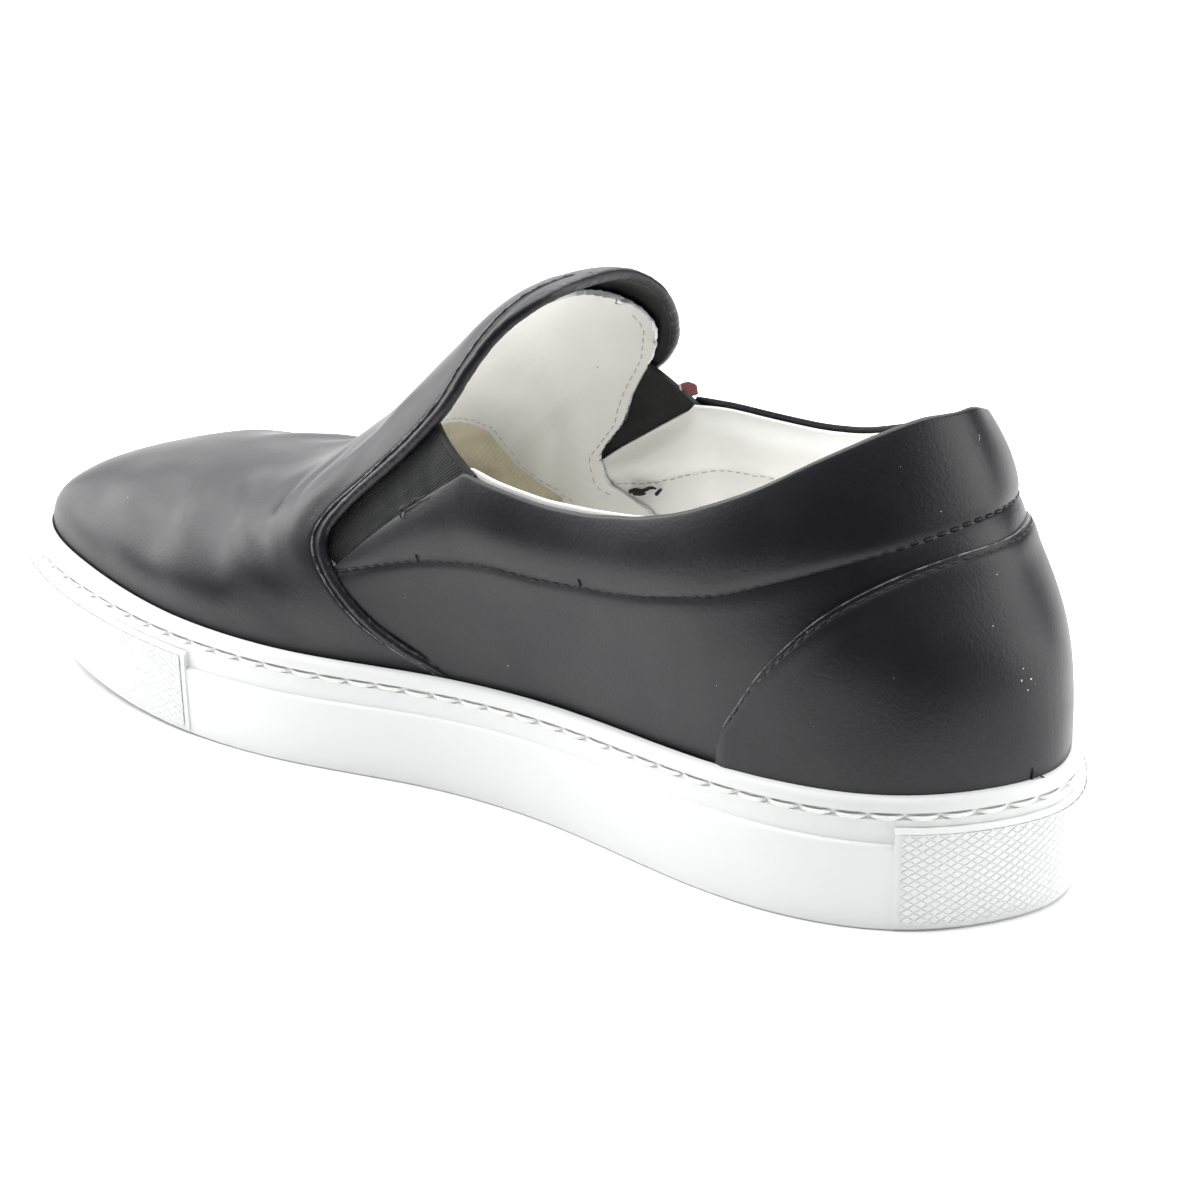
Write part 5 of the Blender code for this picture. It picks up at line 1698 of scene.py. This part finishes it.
class SNEAKER_OT_sole(bpy.types.Operator):
    """Builds the cup sole, its tread, its moulded patches and its stitches"""

    bl_idname = "sneaker.sole"
    bl_label = "Cup sole"

    def execute(self, context):
        sizes = context.scene.sneaker_sizes
        last = Last(sizes)
        rubber = material("cup_rubber")
        wall = sole_wall_piece(last, rubber)
        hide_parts("sole")
        tread_piece(last, rubber)
        patch_piece(last, "heel_patch", patch_places(last, HEEL_PATCH, True, sizes.diamond / 2), rubber)
        patch_piece(last, "toe_patch", patch_places(last, TOE_PATCH, False, sizes.diamond / 2), rubber)
        path = sole_stitch_path(last)
        shares = close_ends(900)
        normals = np.vstack([
            np.column_stack([last.foot(side, shares[order], 0 * shares[order])[1], 0 * shares[order]])
            for side, order in ((1, slice(None)), (-1, slice(-2, 0, -1)))])
        stitches(
            last, "sole_stitches", path, normals, sizes.sole_stitch, sizes.sole_stitch * 0.96, SOLE_THREAD,
            material("sole_thread"), sink=1.5, lift=0.50, wander=0.00006, seed=2, bow=0.00040)
        return {"FINISHED"}


class SNEAKER_OT_vamp(bpy.types.Operator):
    """Builds the creased vamp with its tongue, and the roll along its rear edge"""

    bl_idname = "sneaker.vamp"
    bl_label = "Vamp and tongue"

    def execute(self, context):
        sizes = context.scene.sneaker_sizes
        last = Last(sizes)
        vamp, _, _ = vamp_pieces(last, sizes, material("upper_leather"), material("rolled_edge_leather"),
                                 material("worn_edge_painted_highlight"))
        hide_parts("upper")
        return {"FINISHED"}


class SNEAKER_OT_quarters(bpy.types.Operator):
    """Builds the quarters, the padded collar and the seam between them"""

    bl_idname = "sneaker.quarters"
    bl_label = "Quarters and collar"

    def execute(self, context):
        sizes = context.scene.sneaker_sizes
        quarter_pieces(Last(sizes), sizes, material("upper_leather"), material("black_thread"))
        return {"FINISHED"}


class SNEAKER_OT_counter(bpy.types.Operator):
    """Builds the heel counter and its row of stitches"""

    bl_idname = "sneaker.counter"
    bl_label = "Heel counter"

    def execute(self, context):
        sizes = context.scene.sneaker_sizes
        counter, _ = counter_pieces(Last(sizes), sizes, material("counter_leather"), material("black_thread"),
                                    material("worn_edge_painted_highlight"))
        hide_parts("heel_counter")
        return {"FINISHED"}


class SNEAKER_OT_gussets(bpy.types.Operator):
    """Builds the two ribbed elastic gussets"""

    bl_idname = "sneaker.gussets"
    bl_label = "Elastic gussets"

    def execute(self, context):
        sizes = context.scene.sneaker_sizes
        last = Last(sizes)
        for side, name in ((1, "gusset_inner"), (-1, "gusset_outer")):
            web, _ = gusset_pieces(
                last, sizes, side, name, material("gusset_elastic"), material("black_thread"))
            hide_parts(name)
        fray_piece(last, material("black_thread"))
        return {"FINISHED"}


class SNEAKER_OT_linings(bpy.types.Operator):
    """Builds the linings of the tongue, the vamp and the quarters, and their seams"""

    bl_idname = "sneaker.linings"
    bl_label = "Linings"

    def execute(self, context):
        sizes = context.scene.sneaker_sizes
        lining_pieces(Last(sizes), sizes, material("lining_leather"), material("lining_canvas"),
                      material("cut_lining_edge"), material("grey_thread"))
        return {"FINISHED"}


class SNEAKER_OT_insole(bpy.types.Operator):
    """Builds the padded insole"""

    bl_idname = "sneaker.insole"
    bl_label = "Insole"

    def execute(self, context):
        pad = insole_piece(Last(context.scene.sneaker_sizes), material("insole_leather_top"))
        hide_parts("insole")
        return {"FINISHED"}


class SNEAKER_OT_trim(bpy.types.Operator):
    """Builds the small folded tab and the loose ends of thread"""

    bl_idname = "sneaker.trim"
    bl_label = "Tab and loose ends"

    def execute(self, context):
        last = Last(context.scene.sneaker_sizes)
        tab = tab_piece(last, material("tab_tape"), material("pale_thread"))
        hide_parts("label_tab")
        loose_end_pieces(last, {"pale": material("pale_thread"), "black": material("black_thread")})
        dust_piece(last, material("pale_thread"))
        return {"FINISHED"}


CAMERA_AZIMUTH = 218.73
CAMERA_ELEVATION = 21.37
CAMERA_ROLL = -0.73
CAMERA_PLACE = (-0.4304, 0.5071, 0.2925)
CAMERA_LENS = 92.12
FLOOR_REACH = 6.0
# How far the white floor runs towards the camera and to the inner side, past the picture's edges
FLOOR_FRONT = 0.222
FLOOR_SIDE = 0.236
WORLD_STRENGTH = 0.16
# Each light: name, place, what it points at, size in metres, and brightness in watts for a square metre
# and steradian
LIGHTS = (
    ("overhead_softbox", (0.30, -0.25, 1.90), (0.0, 0.0, 0.0), 2.6, 5.0),
    ("backdrop", (1.15, -1.70, 0.95), (0.0, 0.0, 0.25), 2.4, 1.7),
    ("heel_side_panel", (-1.80, -0.95, 0.72), (0.0, 0.0, 0.15), 1.6, 3.6),
    ("toe_side_panel", (1.90, 0.10, 0.90), (0.0, 0.0, 0.05), 1.7, 3.4),
    ("inner_side_panel", (1.55, 0.85, 1.05), (0.0, 0.0, 0.05), 1.3, 3.2),
)


def aimed(obj, place, target):
    obj.location = place
    obj.rotation_mode = "QUATERNION"
    obj.rotation_quaternion = (Vector(target) - Vector(place)).to_track_quat("-Z", "Y")


class SNEAKER_OT_stage(bpy.types.Operator):
    """Sets up the pale floor, the soft studio light and the camera"""

    bl_idname = "sneaker.stage"
    bl_label = "Stage"

    def execute(self, context):
        scene = context.scene
        mesh = bpy.data.meshes.new("floor")
        reach = FLOOR_REACH
        a = math.radians(CAMERA_AZIMUTH)
        near, aside = Vector((math.sin(a), -math.cos(a), 0)), Vector((math.cos(a), math.sin(a), 0))
        turn = (FLOOR_SIDE - near.y * FLOOR_FRONT) / aside.y
        corners = [near * FLOOR_FRONT + aside * turn, near * FLOOR_FRONT + aside * reach,
                   -near * reach + aside * reach, Vector((reach, -reach, 0)), Vector((reach, FLOOR_SIDE, 0))]
        mesh.from_pydata([tuple(c) for c in corners], [], [tuple(range(len(corners)))])
        floor = bpy.data.objects.new("floor", mesh)
        scene.collection.objects.link(floor)
        paper, tree, shader, _ = new_material("floor_paper")
        shader.inputs["Base Color"].default_value = (0.93, 0.93, 0.93, 1)
        shader.inputs["Roughness"].default_value = 0.9
        mesh.materials.append(paper)
        for name, place, target, size, brightness in LIGHTS:
            data = bpy.data.lights.new(name, "AREA")
            data.shape = "SQUARE"
            data.size = size
            data.energy = brightness * math.pi * size**2
            light = bpy.data.objects.new(name, data)
            scene.collection.objects.link(light)
            aimed(light, place, target)
        world = bpy.data.worlds.new("studio")
        world.use_nodes = True
        tree = world.node_tree
        dim = tree.nodes["Background"]
        dim.inputs["Color"].default_value = (1, 1, 1, 1)
        dim.inputs["Strength"].default_value = WORLD_STRENGTH
        seen = node(tree, "ShaderNodeBackground", {"Color": (1, 1, 1, 1), "Strength": 1.0})
        camera_ray = node(tree, "ShaderNodeLightPath").outputs["Is Camera Ray"]
        either = node(tree, "ShaderNodeMixShader", {0: camera_ray})
        tree.links.new(dim.outputs[0], either.inputs[1])
        tree.links.new(seen.outputs[0], either.inputs[2])
        tree.links.new(either.outputs[0], tree.nodes["World Output"].inputs["Surface"])
        scene.world = world
        camera = bpy.data.objects.new("camera", bpy.data.cameras.new("camera"))
        scene.collection.objects.link(camera)
        camera.data.sensor_width = 36
        camera.data.lens = CAMERA_LENS
        camera.data.clip_start = 0.01
        a, e, r = (math.radians(v) for v in (CAMERA_AZIMUTH, CAMERA_ELEVATION, CAMERA_ROLL))
        back = Vector((math.sin(a) * math.cos(e), -math.cos(a) * math.cos(e), math.sin(e)))
        right = Vector((math.cos(a), math.sin(a), 0))
        up = back.cross(right)
        right, up = math.cos(r) * right + math.sin(r) * up, -math.sin(r) * right + math.cos(r) * up
        turn = Matrix((right, up, back)).transposed()
        camera.matrix_world = Matrix.Translation(CAMERA_PLACE) @ turn.to_4x4()
        scene.camera = camera
        scene.view_settings.view_transform = "Standard"
        return {"FINISHED"}


class SNEAKER_PT_panel(bpy.types.Panel):
    """Lists the shoe's pieces, sizes and colours"""

    bl_idname = "SNEAKER_PT_panel"
    bl_label = "Sneaker"
    bl_space_type = "VIEW_3D"
    bl_region_type = "UI"
    bl_category = "Sneaker"

    def draw(self, context):
        layout = self.layout
        for cls in OPERATORS:
            layout.operator(cls.bl_idname)
        for group_name in ("sneaker_sizes", "sneaker_colours"):
            settings = getattr(context.scene, group_name)
            for name in settings.__annotations__:
                layout.prop(settings, name)


OPERATORS = (
    SNEAKER_OT_materials,
    SNEAKER_OT_sole,
    SNEAKER_OT_vamp,
    SNEAKER_OT_quarters,
    SNEAKER_OT_counter,
    SNEAKER_OT_gussets,
    SNEAKER_OT_linings,
    SNEAKER_OT_insole,
    SNEAKER_OT_trim,
    SNEAKER_OT_stage,
)


def register():
    for cls in (SneakerSizes, SneakerColours, *OPERATORS, SNEAKER_PT_panel):
        bpy.utils.register_class(cls)
    bpy.types.Scene.sneaker_sizes = bpy.props.PointerProperty(type=SneakerSizes)
    bpy.types.Scene.sneaker_colours = bpy.props.PointerProperty(type=SneakerColours)


def unregister():
    del bpy.types.Scene.sneaker_sizes
    del bpy.types.Scene.sneaker_colours
    for cls in (SNEAKER_PT_panel, *reversed(OPERATORS), SneakerColours, SneakerSizes):
        bpy.utils.unregister_class(cls)


def main():
    register()
    bpy.ops.sneaker.materials()
    bpy.ops.sneaker.sole()
    bpy.ops.sneaker.vamp()
    bpy.ops.sneaker.quarters()
    bpy.ops.sneaker.counter()
    bpy.ops.sneaker.gussets()
    bpy.ops.sneaker.linings()
    bpy.ops.sneaker.insole()
    bpy.ops.sneaker.trim()
    bpy.ops.sneaker.stage()


if __name__ == "__main__":
    main()
